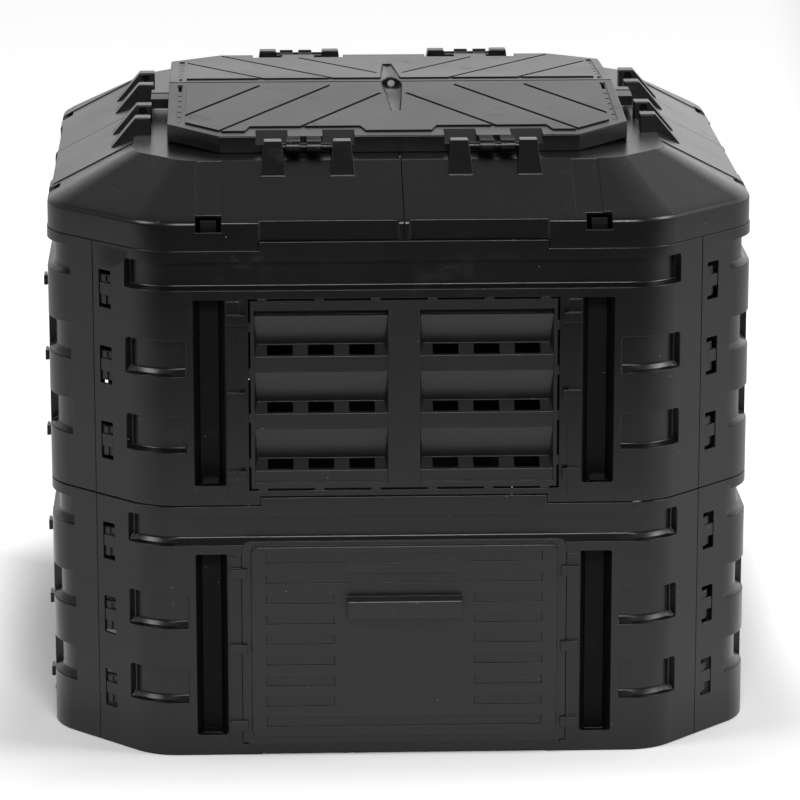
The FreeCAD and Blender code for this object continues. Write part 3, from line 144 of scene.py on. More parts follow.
# %% [markdown]
# ## Moulded grain
# Black polypropylene is never a mirror. The mould was spark-eroded, so the skin has a fine
# random grain, and the melt leaves broad, faint changes of gloss where it flowed. A picture of
# grain would need every moulding unwrapped, so two noise textures on object coordinates make
# both instead. The group puts out a height and a gloss change, and every plastic uses it.

# %% Grain group
MM_PER_METRE = 1000.0
grain = new_group("moulded grain", {"Grain size mm": 0.8, "Flow size mm": 160.0}, ["Height", "Gloss change"])
enter = add_node(grain, "NodeGroupInput")
leave = add_node(grain, "NodeGroupOutput")
place = add_node(grain, "ShaderNodeTexCoord")
for socket_name, detail, target in (("Grain size mm", 3.0, "Height"), ("Flow size mm", 2.0, "Gloss change")):
    noise = add_node(grain, "ShaderNodeTexNoise", Detail=detail, Roughness=0.6)
    scale = combined(grain, "DIVIDE", MM_PER_METRE, enter.outputs[socket_name])
    grain.links.new(scale, noise.inputs["Scale"])
    grain.links.new(place.outputs["Object"], noise.inputs["Vector"])
    grain.links.new(noise.outputs["Fac"], leave.inputs[target])
print("grain group has", len(grain.nodes), "nodes")

# %% [markdown]
# ## Dust and scuffs
# A black moulding that has been handled carries pale specks of lint and a few soft scuffs.
# Specks could be small spheres on the surface, but thousands of them would only slow the
# scene. A cell texture gives scattered dots: a dot shows only where its cell's random number
# is low. The scuffs are the peaks of a twisted noise.

# %% Dust group
DOT_RIM, DOT_FULL = 0.045, 0.02
SCUFF_STARTS, SCUFF_FULL = 0.58, 0.74
dust = new_group("dust and scuffs", {"Speck spacing mm": 14.0, "Speck share": 0.3, "Scuff size mm": 60.0},
                 ["Speck", "Scuff"])
enter = add_node(dust, "NodeGroupInput")
leave = add_node(dust, "NodeGroupOutput")
place = add_node(dust, "ShaderNodeTexCoord")
cells = add_node(dust, "ShaderNodeTexVoronoi", feature="F1")
marks = add_node(dust, "ShaderNodeTexNoise", Detail=5.0, Roughness=0.65, Distortion=1.2)
for texture, socket_name in ((cells, "Speck spacing mm"), (marks, "Scuff size mm")):
    scale = combined(dust, "DIVIDE", MM_PER_METRE, enter.outputs[socket_name])
    dust.links.new(scale, texture.inputs["Scale"])
    dust.links.new(place.outputs["Object"], texture.inputs["Vector"])
chance = add_node(dust, "ShaderNodeSeparateColor")
dust.links.new(cells.outputs["Color"], chance.inputs["Color"])
dot = ramped(dust, cells.outputs["Distance"], DOT_RIM, DOT_FULL)
chosen = combined(dust, "LESS_THAN", chance.outputs["Red"], enter.outputs["Speck share"])
dust.links.new(combined(dust, "MULTIPLY", dot, chosen), leave.inputs["Speck"])
scuff = ramped(dust, marks.outputs["Fac"], SCUFF_STARTS, SCUFF_FULL)
dust.links.new(scuff, leave.inputs["Scuff"])
print("dust group has", len(dust.nodes), "nodes")

# %% [markdown]
# ## The black plastics
# Every moulding uses the same recipe with its own values. The walls and the hood are satin,
# the lid is dustier because it lies flat, and the louvres are duller because they are deep
# and hard to polish. The recipe mixes a pale speck colour in, changes the roughness with the
# flow marks and scuffs, and feeds the grain to a bump node, since grain this fine is far too
# small to be worth real geometry.

# %% Plastic recipe
BLACK = (0.0030, 0.0030, 0.0032)
LINT = (0.50, 0.48, 0.45, 1.0)
SCUFFED_BLACK = (0.030, 0.029, 0.028, 1.0)
SCUFF_STRENGTH = 0.22
SCUFF_ROUGHER = 0.08
GLOSS_SWING = 0.045
GRAIN_STRENGTH = 0.6


def black_plastic(name, roughness, grain_mm, bump_mm, colour=BLACK, speck_share=0.3, specular=0.5):
    """A black plastic with its own gloss, grain and dust."""
    material = bpy.data.materials.new(name)
    material.use_nodes = True
    tree = material.node_tree
    tree.nodes.clear()
    out = add_node(tree, "ShaderNodeOutputMaterial")
    skin = add_node(tree, "ShaderNodeBsdfPrincipled", IOR=1.45, Specular_IOR_Level=specular)
    tree.links.new(skin.outputs["BSDF"], out.inputs["Surface"])
    grained = add_node(tree, "ShaderNodeGroup", node_tree=grain)
    grained.inputs["Grain size mm"].default_value = grain_mm
    dusty = add_node(tree, "ShaderNodeGroup", node_tree=dust)
    dusty.inputs["Speck share"].default_value = speck_share

    specked = mixed(tree, dusty.outputs["Speck"], (*colour, 1.0), LINT)
    scuff_share = combined(tree, "MULTIPLY", dusty.outputs["Scuff"], SCUFF_STRENGTH)
    tree.links.new(mixed(tree, scuff_share, specked, SCUFFED_BLACK), skin.inputs["Base Color"])

    gloss = ramped(tree, grained.outputs["Gloss change"], 0.0, 1.0,
                   roughness - GLOSS_SWING, roughness + GLOSS_SWING, kind="LINEAR")
    rougher = combined(tree, "MULTIPLY_ADD", dusty.outputs["Scuff"], SCUFF_ROUGHER, gloss)
    tree.links.new(rougher, skin.inputs["Roughness"])

    bump = add_node(tree, "ShaderNodeBump", Strength=GRAIN_STRENGTH, Distance=bump_mm * MM)
    tree.links.new(grained.outputs["Height"], bump.inputs["Height"])
    tree.links.new(bump.outputs["Normal"], skin.inputs["Normal"])
    return material


wall_plastic = black_plastic("satin black wall plastic", 0.30, 0.9, 0.020)
hood_plastic = black_plastic("satin black hood plastic", 0.29, 0.8, 0.015)
lid_plastic = black_plastic("satin black lid plastic", 0.34, 0.9, 0.020, speck_share=0.6)
hatch_plastic = black_plastic("satin black hatch plastic", 0.33, 1.0, 0.022, colour=(0.0068, 0.0068, 0.0072))
louvre_plastic = black_plastic(
    "satin black louvre plastic", 0.36, 1.0, 0.020, colour=(0.0078, 0.0078, 0.0083))
# The dull plastic is rough like an unpolished skin; its darker colour and weak reflections are painted shade
# for hollows.
dull_shaded_plastic = black_plastic(
    "dull black plastic with painted slot shade", 0.60, 1.2, 0.030, colour=(0.002, 0.002, 0.0022), specular=0.18)
print("plastics:", [material.name for material in bpy.data.materials])

# %% [markdown]
# ## Where an edge is
# No mould leaves a sharp edge, and on black plastic the edges are what the eye reads: each
# one carries a thin bright line. How round an edge is depends on where it is, so the edges
# are sorted by place. A point of any wall is first turned in thought to the front wall and
# then unrolled: how far it is along the wall from the middle, how deep behind the face, and
# how high above the foot of its ring. One set of places then does for all eight panels.

# %% Unrolled places on a wall
RING_PITCH = 330
WALL_FACE = 450
CORNER_ROUND = 80
ARC_START = 285.86
ARC_END = ARC_START + CORNER_ROUND * math.pi / 4
DIAGONAL = math.sqrt(0.5)
QUARTER_TURNS = {"front": 0, "right": 3, "rear": 2, "left": 1}


def turns_of(node_name):
    """Quarter turns that bring a wall to the front."""
    return range(QUARTER_TURNS[node_name.split("_")[1]])


def wall_place(node_name, point):
    """How far along its wall, how deep and how high a point is, in millimetres."""
    x, y, z = (value / MM for value in point)
    for turn in turns_of(node_name):
        x, y = -y, x
    if node_name.startswith("upper_"):
        z -= RING_PITCH
    across = abs(x) - ARC_START
    outward = -y - WALL_FACE + CORNER_ROUND
    if across <= 0:
        return abs(x), CORNER_ROUND - outward, z
    angle = math.atan2(across, outward)
    if angle <= math.pi / 4:
        return ARC_START + CORNER_ROUND * angle, CORNER_ROUND - math.hypot(across, outward), z
    return ARC_END + (across - outward) * DIAGONAL, CORNER_ROUND - (across + outward) * DIAGONAL, z


print("a point of the upper right wall, unrolled:", wall_place("upper_right_panel", (0.45, 0.1, 0.5)))

# %% [markdown]
# ## Last millimetres of the walls
# Set against the photograph, the windows and the band are a little lower and stand a little
# nearer the seams than in the solids, their lower slope is steeper, the ring joint is an open
# dark line, and the gap round each louvred insert is wider. The arms behind the small windows
# at the seams are a little longer, too. All this could be cut anew, but moving a moulding's
# own points keeps its surface closed. They move before any edge is rounded.

# %% Rules for wall and insert points
FACE_DEPTH = 1
JOINT_GAP = 1.2
RAISED_MIDDLE_HALF, RAISED_MIDDLE_TOP = 182, 14
ARM_ALONG = (384, 430)
ARM_BOTTOMS, ARM_LOWER = (55, 153.5, 252), 2.4
ARM_TOPS, ARM_TALLER = (91, 189.5, 288), 5.0
DENTS = ((70, 122, 6.0), (169, 221, 6.0), (279, 320, 4.0))
DENT_MARGIN, TOP_PLAY = 5, 1
DENT_DEEPEST = 15
DENT_ALONG = (262, 362)
DENT_OUTER_END, DENT_INNER_END = 349, 270.5
DENT_SHIFT = 4.0
BAND_FROM = 275
SLOPE = 8.0
STEEPER = 0.5
INSERT_HALF = 194
INSERT_LEVELS = (21, 267)
INSERT_GAP = 1.8


def near_any(value, marks, play):
    """Whether a value lies within play of one of the marks."""
    return any(abs(value - mark) < play for mark in marks)


def move_dent_point(place):
    """Windows and band: nearer to the seam, a lower top and a steeper floor."""
    along, depth, z = place
    for bottom, top, lower in DENTS:
        if bottom - DENT_MARGIN < z < top + DENT_MARGIN:
            at_band = top > BAND_FROM
            at_end = along > DENT_OUTER_END or (along < DENT_INNER_END and not at_band)
            shift = DENT_SHIFT if at_end else 0.0
            if z > top - TOP_PLAY:
                return shift, -lower
            if bottom < z <= bottom + SLOPE:
                return shift, (bottom - z) * STEEPER
            return shift, 0.0
    return 0.0, 0.0


def move_wall_point(node_name, place):
    """How far a point of a panel moves along the wall and up, in millimetres."""
    along, depth, z = place
    in_middle = along < RAISED_MIDDLE_HALF and z < RAISED_MIDDLE_TOP
    if node_name.startswith("upper_") and depth < FACE_DEPTH and (z < 0.5 or in_middle):
        return 0.0, JOINT_GAP
    if ARM_ALONG[0] < along < ARM_ALONG[1] and near_any(z, ARM_BOTTOMS, 0.5):
        return 0.0, -ARM_LOWER
    if "rear" in node_name and ARM_ALONG[0] < along < ARM_ALONG[1] and near_any(z, ARM_TOPS, 0.5):
        return 0.0, ARM_TALLER
    beside_windows = z < BAND_FROM and along <= DENT_ALONG[0]
    if depth > DENT_DEEPEST or along >= DENT_ALONG[1] or beside_windows:
        return 0.0, 0.0
    return move_dent_point(place)


def move_insert_point(node_name, place):
    """The insert's own outline draws back from the panel; its nibs still reach it."""
    along, depth, z = place
    aside, up = 0.0, 0.0
    if depth > FACE_DEPTH:
        return aside, up
    if near_any(along, (INSERT_HALF,), 0.3):
        aside = -INSERT_GAP
    if near_any(z, INSERT_LEVELS[:1], 0.2):
        up = INSERT_GAP
    if near_any(z, INSERT_LEVELS[1:], 0.2):
        up = -INSERT_GAP
    return aside, up


print("a point on a window's rim moves by", move_wall_point("lower_front_panel", (355, 0, 122)), "mm")

# %% [markdown]
# ## Moving the points
# A rule says how far a point moves along its wall and up. The point is turned to the front
# wall, moved, and turned back, so one rule serves four walls. A move can leave a flat face
# bent, so a face whose points no longer lie in one plane is cut into triangles.

# %% Moves
MOST_OFF_PLANE = 0.2


def off_plane(face):
    """How far the points of a face lie off its plane."""
    middle = face.calc_center_median()
    return max(abs((vert.co - middle).dot(face.normal)) for vert in face.verts)


def move_points(shape, node_name):
    """Applies the rule of the piece's kind, and cuts the faces that it bent into triangles."""
    rule = move_wall_point if node_name.endswith("_panel") else move_insert_point
    for vert in shape.verts:
        place = wall_place(node_name, vert.co)
        aside, up = rule(node_name, place)
        if not aside and not up:
            continue
        x, y = vert.co.x, vert.co.y
        for turn in turns_of(node_name):
            x, y = -y, x
        out = math.copysign(1.0, x)
        if place[0] > ARC_END:
            x += out * aside * MM * DIAGONAL
            y += aside * MM * DIAGONAL
        else:
            x += out * aside * MM
        for turn in turns_of(node_name):
            x, y = y, -x
        vert.co = (x, y, vert.co.z + up * MM)
    shape.normal_update()
    bent = [face for face in shape.faces if len(face.verts) > 4 and off_plane(face) > MOST_OFF_PLANE * MM]
    bmesh.ops.triangulate(shape, faces=bent)


print("faces bent by more than", MOST_OFF_PLANE, "mm are cut")

# %% [markdown]
# ## Rounds of the wall panels
# The windows pressed into the corners and the long band along each ring's top end in round
# corners and have a generous rim. The deep slots and the hooks beside the opening are tighter.
# One width for all edges would make the small ones swell, so two rules read where an edge's
# two ends are and answer with a radius in millimetres.

# %% Rounds of a wall panel
DENT_ROWS = ((70, 116), (169, 215), (279, 316))
DENT_LEVELS = [level for row in DENT_ROWS for level in row]
DENT_ENDS = (273, 358.3)
DENT_DEPTH = 12
WINDOWS_FROM = 266
ROW_MARGIN = 2
CORNER_DEPTH = 5
DENT_CORNER = 5.0
DENT_RIM, DENT_FLOOR = 2.2, 1.6
SLOT_SIDES = (224, 264)
SLOT_ENDS = (27, 267)
SLOT_CORNER = 2.5
SLOT_FAR_SIDE = 1.5
JOINT_EDGE = 1.3
OTHER_EDGE = 0.7


def wall_corner(a, b):
    """Radius of the corners of windows, band and slots, whose edges run into the wall."""
    if abs(a[1] - b[1]) < CORNER_DEPTH or min(a[1], b[1]) > FACE_DEPTH:
        return 0
    outer = a if a[1] < b[1] else b
    if near_any(outer[0], DENT_ENDS, 2) and near_any(outer[2], DENT_LEVELS, 1):
        return DENT_CORNER
    if near_any(outer[0], SLOT_SIDES, 1) and near_any(outer[2], SLOT_ENDS, 1):
        return SLOT_CORNER
    return 0


def wall_round(a, b, convex):
    """Radius of any other edge of a wall panel."""
    low, high = min(a[2], b[2]), max(a[2], b[2])
    at_face = max(a[1], b[1]) < FACE_DEPTH
    for bottom, top in DENT_ROWS:
        in_row = bottom - ROW_MARGIN < low and high < top + ROW_MARGIN
        if in_row and (a[0] > WINDOWS_FROM or bottom > BAND_FROM) and a[1] < DENT_DEPTH:
            return DENT_RIM if convex and at_face else DENT_FLOOR
    if convex and at_face:
        if near_any(a[0], SLOT_SIDES[1:], 1) and near_any(b[0], SLOT_SIDES[1:], 1):
            return SLOT_FAR_SIDE
        in_middle = a[0] < RAISED_MIDDLE_HALF and high < RAISED_MIDDLE_TOP
        if high - low < 0.5 and (high < 1.5 or low > RING_PITCH - 1 or in_middle):
            return JOINT_EDGE
    return OTHER_EDGE


print("the rim of a window has a radius of", wall_round((300, 0, 70), (310, 0, 70), True), "mm")

# %% [markdown]
# ## Rounds of the hood
# The hood is the roof that carries the lid. Its shoulder, where the upright skirt turns into
# the slope, is a broad round, its ledge a soft one, and its hinge lugs are tight because a
# socket sits close under each lug's top.

# %% Rounds of the hood
SHOULDER, SHOULDER_ROUND = 695, 4.5
LEDGE, LEDGE_ROUND = 752, 2.5
HINGE_AXIS = (330, 767)
SOCKET_REACH, SOCKET_EDGE = 6.2, 0.5
LUG_EDGE, LUG_FOOT = 1.5, 0.8
HOOD_EDGE = 0.9


def plain_place(node_name, point):
    """Where a point of any other piece is, in millimetres."""
    return tuple(value / MM for value in point)


def hood_round(a, b, convex):
    """Radius of an edge of the hood."""
    if near_any(a[2], (SHOULDER,), 1.5) and near_any(b[2], (SHOULDER,), 1.5) and convex:
        return SHOULDER_ROUND
    if near_any(a[2], (LEDGE,), 1) and near_any(b[2], (LEDGE,), 1) and convex:
        return LEDGE_ROUND
    if max(a[2], b[2]) <= LEDGE + 1:
        return HOOD_EDGE
    for point in (a, b):
        for side in (abs(point[0]), abs(point[1])):
            if math.hypot(side - HINGE_AXIS[0], point[2] - HINGE_AXIS[1]) < SOCKET_REACH:
                return SOCKET_EDGE
    return LUG_EDGE if convex else LUG_FOOT


def no_corner(a, b):
    """For pieces that have no corners to bevel first."""
    return 0


print("the hood's shoulder has a radius of", hood_round((0, -437, SHOULDER), (9, -437, SHOULDER), True), "mm")

# %% [markdown]
# ## Rounds of the lid
# The lid is two flaps that rise gently from their hinges to the split between them, with
# rays cut into their raised fields. Their outline is soft and the rays are fine. The flaps
# stand a little farther apart than in the solids, so their points at the split move first.

# %% Rounds of the flaps
FLAP_MIDDLE_TOP, FLAP_RISE, FLAP_HALF = 790, 16, 296
FLAP_OUTLINE = 294
FLAP_CHAMFER = 522
EARS_FROM = 298
FLAP_RIM, FLAP_EDGE = 1.8, 0.5
SPLIT_WITHIN, SPLIT_ROUND = 3.0, 2.0
SPLIT_GAP = 1.8


def flap_top(y):
    """Height of the flaps' sloping top, in millimetres."""
    return FLAP_MIDDLE_TOP - FLAP_RISE * abs(y) / FLAP_HALF


def flap_round(a, b, convex):
    """Radius of an edge of a flap."""
    def outline(point):
        x, y = abs(point[0]), abs(point[1])
        return x < EARS_FROM and (max(x, y) > FLAP_OUTLINE or x + y > FLAP_CHAMFER)

    on_top = all(abs(point[2] - flap_top(point[1])) < 1 for point in (a, b))
    if on_top and convex and outline(a) and outline(b):
        return FLAP_RIM
    if on_top and convex and max(abs(a[1]), abs(b[1])) < SPLIT_WITHIN:
        return SPLIT_ROUND
    return FLAP_EDGE


def move_flap_points(shape, node_name):
    """The two flaps part a little more at their split."""
    for vert in shape.verts:
        if abs(vert.co.y) < 1 * MM:
            vert.co.y += math.copysign(SPLIT_GAP * MM, vert.co.y)
            vert.co.z -= SPLIT_GAP * MM * FLAP_RISE / FLAP_HALF


print("the lid is", flap_top(0), "mm high at the split and", flap_top(FLAP_HALF), "mm at its edges")

# %% [markdown]
# ## Rounds of the hatch and the louvres
# The hatch is a shallow tray with a broad rim and a grip that a hand pulls up. The louvred
# inserts are thin webs and blades, all with the same small round.

# %% Rounds of the hatch and the louvres
HATCH_FIELD = 458.8
HATCH_RIM_ACROSS, HATCH_MIDDLE, HATCH_RIM_UP = 182, 152, 119
HATCH_RIM, HATCH_EDGE = 2.4, 0.7
GRIP_EDGE, GRIP_FOOT = 1.6, 0.8
LOUVRE_EDGE = 0.6


def hatch_round(a, b, convex):
    """Radius of an edge of the hatch."""
    front = -max(a[1], b[1])
    at_rim = any(abs(point[0]) > HATCH_RIM_ACROSS or abs(point[2] - HATCH_MIDDLE) > HATCH_RIM_UP
                 for point in (a, b))
    if abs(front - HATCH_FIELD) < 0.3 and convex and at_rim:
        return HATCH_RIM
    if front > HATCH_FIELD + 2:
        return GRIP_EDGE if convex else GRIP_FOOT
    return HATCH_EDGE


def louvre_round(a, b, convex):
    """One radius for every edge of an insert."""
    return LOUVRE_EDGE


print("the hatch's field stands at", HATCH_FIELD, "mm from the middle")

# %% [markdown]
# ## Dull hollows with painted shade
# Deep in a narrow slot the mould can't be polished, so the skin stays rough, and little
# light gets in. That shade is painted: faces there get the dull plastic, darker and weaker in
# its reflections, as their second material. Each test reads the place of a face's middle.

# %% Tests for hollows
SKIN_DEPTH = 3
RIM_DEPTHS = (0.5, 3.9)
OPENING_HALF, OPENING_LOW, OPENING_HIGH = 195.5, 19.5, 268.5
INSERT_RIM_HALF, INSERT_RIM_LOW, INSERT_RIM_HIGH = 191.8, 23, 265
GROOVE_DEPTHS = (457.0, 458.5)


def wall_hollow(point):
    """The deep slots, the ring joint and the rim of the opening."""
    along, depth, z = point
    in_slot = SLOT_SIDES[0] < along < SLOT_SIDES[1] and SLOT_ENDS[0] < z < SLOT_ENDS[1]
    at_joint = z < 1.5 or z > RING_PITCH - 0.5
    in_opening = along < OPENING_HALF and OPENING_LOW < z < OPENING_HIGH
    at_rim = RIM_DEPTHS[0] < depth < RIM_DEPTHS[1]
    return (in_slot and depth > SKIN_DEPTH) or (at_joint and depth > RIM_DEPTHS[0]) or (in_opening and at_rim)


def insert_hollow(point):
    """The outer rim of a louvred insert."""
    along, depth, z = point
    outside = along > INSERT_RIM_HALF or z < INSERT_RIM_LOW or z > INSERT_RIM_HIGH
    return RIM_DEPTHS[0] < depth < RIM_DEPTHS[1] and outside


def flap_hollow(point):
    """The walls of the raised field and its rays, and the two faces at the split."""
    above = point[2] - flap_top(point[1])
    return 0.1 < above < 1.8 or abs(point[1]) < SPLIT_WITHIN


def hatch_hollow(point):
    """The walls of the hatch's grooves."""
    return GROOVE_DEPTHS[0] < -point[1] < GROOVE_DEPTHS[1]


print("a face deep in a slot is dull:", wall_hollow((240, 20, 150)))

# %% [markdown]
# ## Reading a moulding's edges
# The solids arrive as loose triangles, which a bevel would round one by one. So a copy is
# merged, its flat faces are dissolved into single faces, and only then are the sharp edges
# picked out.

# %% Merged copies and sharp edges
MERGE_DISTANCE = 0.002 * MM
FLAT_ANGLE = math.radians(0.6)
SHARP_ANGLE = math.radians(17)


def merged_copy(node_name):
    """A solid's mesh with its doubles merged and each flat face in one piece."""
    shape = bmesh.new()
    shape.from_mesh(nodes[node_name].data)
    bmesh.ops.remove_doubles(shape, verts=shape.verts, dist=MERGE_DISTANCE)
    bmesh.ops.dissolve_limit(shape, angle_limit=FLAT_ANGLE, verts=shape.verts, edges=shape.edges)
    return shape


def sharp_edges(shape):
    """The edges where two faces meet at a clear angle."""
    return [edge for edge in shape.edges
            if len(edge.link_faces) == 2 and edge.calc_face_angle() > SHARP_ANGLE]


trial = merged_copy("hatch_door")
print("the hatch has", len(sharp_edges(trial)), "sharp edges")

# %% [markdown]
# ## Room for a round
# A round must not run into the round of an edge across the same flat face. Blender can clamp
# a bevel by itself, but then one narrow place thins every round of the moulding. Instead the
# room is measured edge by edge, over each flat region.

# %% Room between edges
FACING = -0.2
SHARE_OF_BOTH, SHARE_OF_ONE = 0.44, 0.85
ANY_ROOM = 1.0
TINY_SQUARE = 1e-16


def gap_between(first, second):
    """Distance between two edges of one face; it lies at an end of one of them."""
    gap = ANY_ROOM
    for line, points in ((first, second.verts), (second, first.verts)):
        start = line.verts[0].co
        along = line.verts[1].co - start
        length_squared = max(along.length_squared, TINY_SQUARE)
        for point in points:
            share = min(max((point.co - start).dot(along) / length_squared, 0.0), 1.0)
            gap = min(gap, (start + along * share - point.co).length)
    return gap


def flat_regions(shape):
    """Groups of faces that lie in one plane and touch."""
    seen = set()
    for first in shape.faces:
        if first in seen:
            continue
        seen.add(first)
        region = [first]
        for face in region:
            for edge in face.edges:
                if len(edge.link_faces) == 2 and edge.calc_face_angle() < FLAT_ANGLE:
                    for other in edge.link_faces:
                        if other not in seen:
                            seen.add(other)
                            region.append(other)
        yield region


def rim_of(region):
    """The outer edges of a flat region, each with its middle and the way into the region."""
    inside = set(region)
    rim = []
    for face in region:
        for loop in face.loops:
            if any(other not in inside for other in loop.edge.link_faces):
                run = loop.link_loop_next.vert.co - loop.vert.co
                rim.append((loop.edge, loop.vert.co + run / 2, face.normal.cross(run).normalized()))
    return rim


def rooms_for_rounds(shape, sharp):
    """The widest round of each edge before it meets the round of one across a face."""
    room = {}
    for region in flat_regions(shape):
        rim = rim_of(region)
        for index, (edge, middle, inward) in enumerate(rim):
            for other, other_middle, other_inward in rim[index + 1:]:
                if inward.dot(other_inward) > FACING or (other_middle - middle).dot(inward) <= 0:
                    continue
                if set(edge.verts) & set(other.verts):
                    continue
                gap = gap_between(edge, other)
                for one, opposite in ((edge, other), (other, edge)):
                    share = SHARE_OF_BOTH if opposite in sharp else SHARE_OF_ONE
                    room[one] = min(room.get(one, ANY_ROOM), gap * share)
    return room


print("the hatch has", len(list(flat_regions(trial))), "flat regions")
trial.free()

# %% [markdown]
# ## Corners and weights
# The corners that run into the wall are bevelled first, in many small steps. Every other
# edge gets a bevel weight, its share of the widest round. Edges that run on into each other
# share one radius, because a round that changes its radius halfway tears.

# %% Corners and weights
WIDEST_ROUND = 5.0
CORNER_STEPS = 6
RUN_ON = -0.82


def even_out(radii):
    """Edges that run on smoothly into each other get the smallest radius of them all."""
    changed = True
    while changed:
        changed = False
        for edge in radii:
            for vert in edge.verts:
                away = (edge.other_vert(vert).co - vert.co).normalized()
                for other in vert.link_edges:
                    if other is edge or other not in radii:
                        continue
                    onward = (other.other_vert(vert).co - vert.co).normalized()
                    if away.dot(onward) < RUN_ON and radii[edge] != radii[other]:
                        radii[edge] = radii[other] = min(radii[edge], radii[other])
                        changed = True


def round_corners(shape, node_name, place, corner_radius):
    """Bevels the corners that run into the wall."""
    corners = {}
    for edge in sharp_edges(shape):
        a, b = (place(node_name, vert.co) for vert in edge.verts)
        radius = corner_radius(a, b)
        if radius:
            corners.setdefault(radius, []).append(edge)
    for radius, edges in corners.items():
        bmesh.ops.bevel(
            shape, geom=edges, offset=radius * MM, offset_type="OFFSET", segments=CORNER_STEPS, profile=0.5,
            affect="EDGES", clamp_overlap=False, loop_slide=True, material=-1)


def weigh_edges(shape, node_name, place, edge_radius):
    """Gives every sharp edge the bevel weight of its radius."""
    weight = shape.edges.layers.float.new("bevel_weight_edge")
    sharp = set(sharp_edges(shape))
    room = rooms_for_rounds(shape, sharp)
    radii = {}
    for edge in sharp:
        a, b = (place(node_name, vert.co) for vert in edge.verts)
        radii[edge] = min(edge_radius(a, b, edge.is_convex) * MM, room.get(edge, ANY_ROOM))
    even_out(radii)
    for edge, radius in radii.items():
        edge[weight] = radius / (WIDEST_ROUND * MM)


print("corners have", CORNER_STEPS, "steps, and the widest round is", WIDEST_ROUND, "mm")

# %% [markdown]
# ## A rounded moulding
# One Bevel modifier reads the weights and rounds all edges at once, so edges of different
# radius meet cleanly. Weighted Normal then keeps the flat faces flat. The finished piece
# stands for its node, moves with the node's body, and carries the plastic of its kind.

# %% Rounded moulding
EDGE_STEPS = 3
# Index of the dull plastic, which paints shade into hollows.
DULL_SHADED_MATERIAL = 1


def add_modifiers(piece):
    """The live bevel, and the normals that keep flat faces flat."""
    rounds = piece.modifiers.new("rounded edges", "BEVEL")
    rounds.limit_method = "WEIGHT"
    rounds.offset_type = "OFFSET"
    rounds.width = WIDEST_ROUND * MM
    rounds.segments = EDGE_STEPS
    rounds.use_clamp_overlap = False
    rounds.loop_slide = False
    rounds.material = -1
    normals = piece.modifiers.new("flat faces keep their normals", "WEIGHTED_NORMAL")
    normals.keep_sharp = True


def soften(node_name, material, place, corner_radius, edge_radius, hollow=None, moves=None):
    """A rounded copy of a solid. place turns a point into the one that the radius rules
    read, hollow is a test for faces that get the dull plastic with its painted shade, and moves
    is a rule for points that move first."""
    shape = merged_copy(node_name)
    if moves:
        moves(shape, node_name)
    round_corners(shape, node_name, place, corner_radius)
    weigh_edges(shape, node_name, place, edge_radius)
    for face in shape.faces:
        face.smooth = True
        # Faces in hollows get the dull plastic, which paints shade there.
        if hollow and hollow(place(node_name, face.calc_center_median())):
            face.material_index = DULL_SHADED_MATERIAL

    mesh = bpy.data.meshes.new(node_name + "_rounded")
    shape.to_mesh(mesh)
    shape.free()
    mesh.materials.append(material)
    if hollow:
        mesh.materials.append(dull_shaded_plastic)
    piece = bpy.data.objects.new(node_name + "_moulding", mesh)
    bpy.context.scene.collection.objects.link(piece)
    add_modifiers(piece)
    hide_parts(node_name)
    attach(piece, body_of_node[node_name])
    return piece


print("rounds have", EDGE_STEPS, "steps")

# %% [markdown]
# ## The mouldings
# Every node of the frame gets its rounded copy, with the rules and the plastic of its kind.

# %% Round every moulding
pieces = {}
for node_name in nodes:
    if node_name.endswith("_panel"):
        rules = (wall_plastic, wall_place, wall_corner, wall_round, wall_hollow, move_points)
    elif node_name.endswith("_louvre"):
        rules = (louvre_plastic, wall_place, no_corner, louvre_round, insert_hollow, move_points)
    elif node_name.startswith("hood_"):
        rules = (hood_plastic, plain_place, no_corner, hood_round)
    elif node_name.endswith("_flap"):
        rules = (lid_plastic, plain_place, no_corner, flap_round, flap_hollow, move_flap_points)
    else:
        rules = (hatch_plastic, plain_place, no_corner, hatch_round, hatch_hollow)
    pieces[node_name] = soften(node_name, *rules)
for node_name, piece in pieces.items():
    print(node_name, len(piece.data.polygons), "faces before the rounds")

# %% [markdown]
# ## The studio floor
# The bin stands on a white paper floor in a white studio. The paper ends about one and a half
# metres in front of it, where the dark part of the studio starts. That is why the walls grow
# darker towards the hood: the higher a wall is, the farther off is the floor that it mirrors.
# The paper also glows a little, which is painted light on it: most of all behind the bin,
# less in front, hardly at the sides and not at all under the bin. From the bin's foot the glow
# rises slowly, which paints a soft shadow round it.

# %% Floor
FLOOR_FRONT = -1.92
FLOOR_SIDE = 9.0
FLOOR_BACK = 14.0
FLOOR_TOP = -0.0006
PAPER_SHADES = ((0.84, 0.84, 0.84, 1.0), (0.86, 0.86, 0.86, 1.0))
CORNER_SHARE = 0.55
GLOW_RING = (0.47, 0.62, 0.0, 0.60)
GLOW_BEHIND = (-0.5, 0.1, 0.30, 1.0)
GLOW_PATH = (0.60, 1.0, 1.0, 0.1)
PATH_WIDENS = 0.1
shape = bmesh.new()
bmesh.ops.create_grid(shape, x_segments=1, y_segments=1, size=1.0)
bmesh.ops.scale(shape, vec=(FLOOR_SIDE, (FLOOR_BACK - FLOOR_FRONT) / 2, 1.0), verts=shape.verts)
bmesh.ops.translate(shape, vec=(0.0, (FLOOR_BACK + FLOOR_FRONT) / 2, FLOOR_TOP), verts=shape.verts)
floor_mesh = bpy.data.meshes.new("paper_floor")
shape.to_mesh(floor_mesh)
shape.free()
floor = bpy.data.objects.new("paper_floor", floor_mesh)
bpy.context.scene.collection.objects.link(floor)

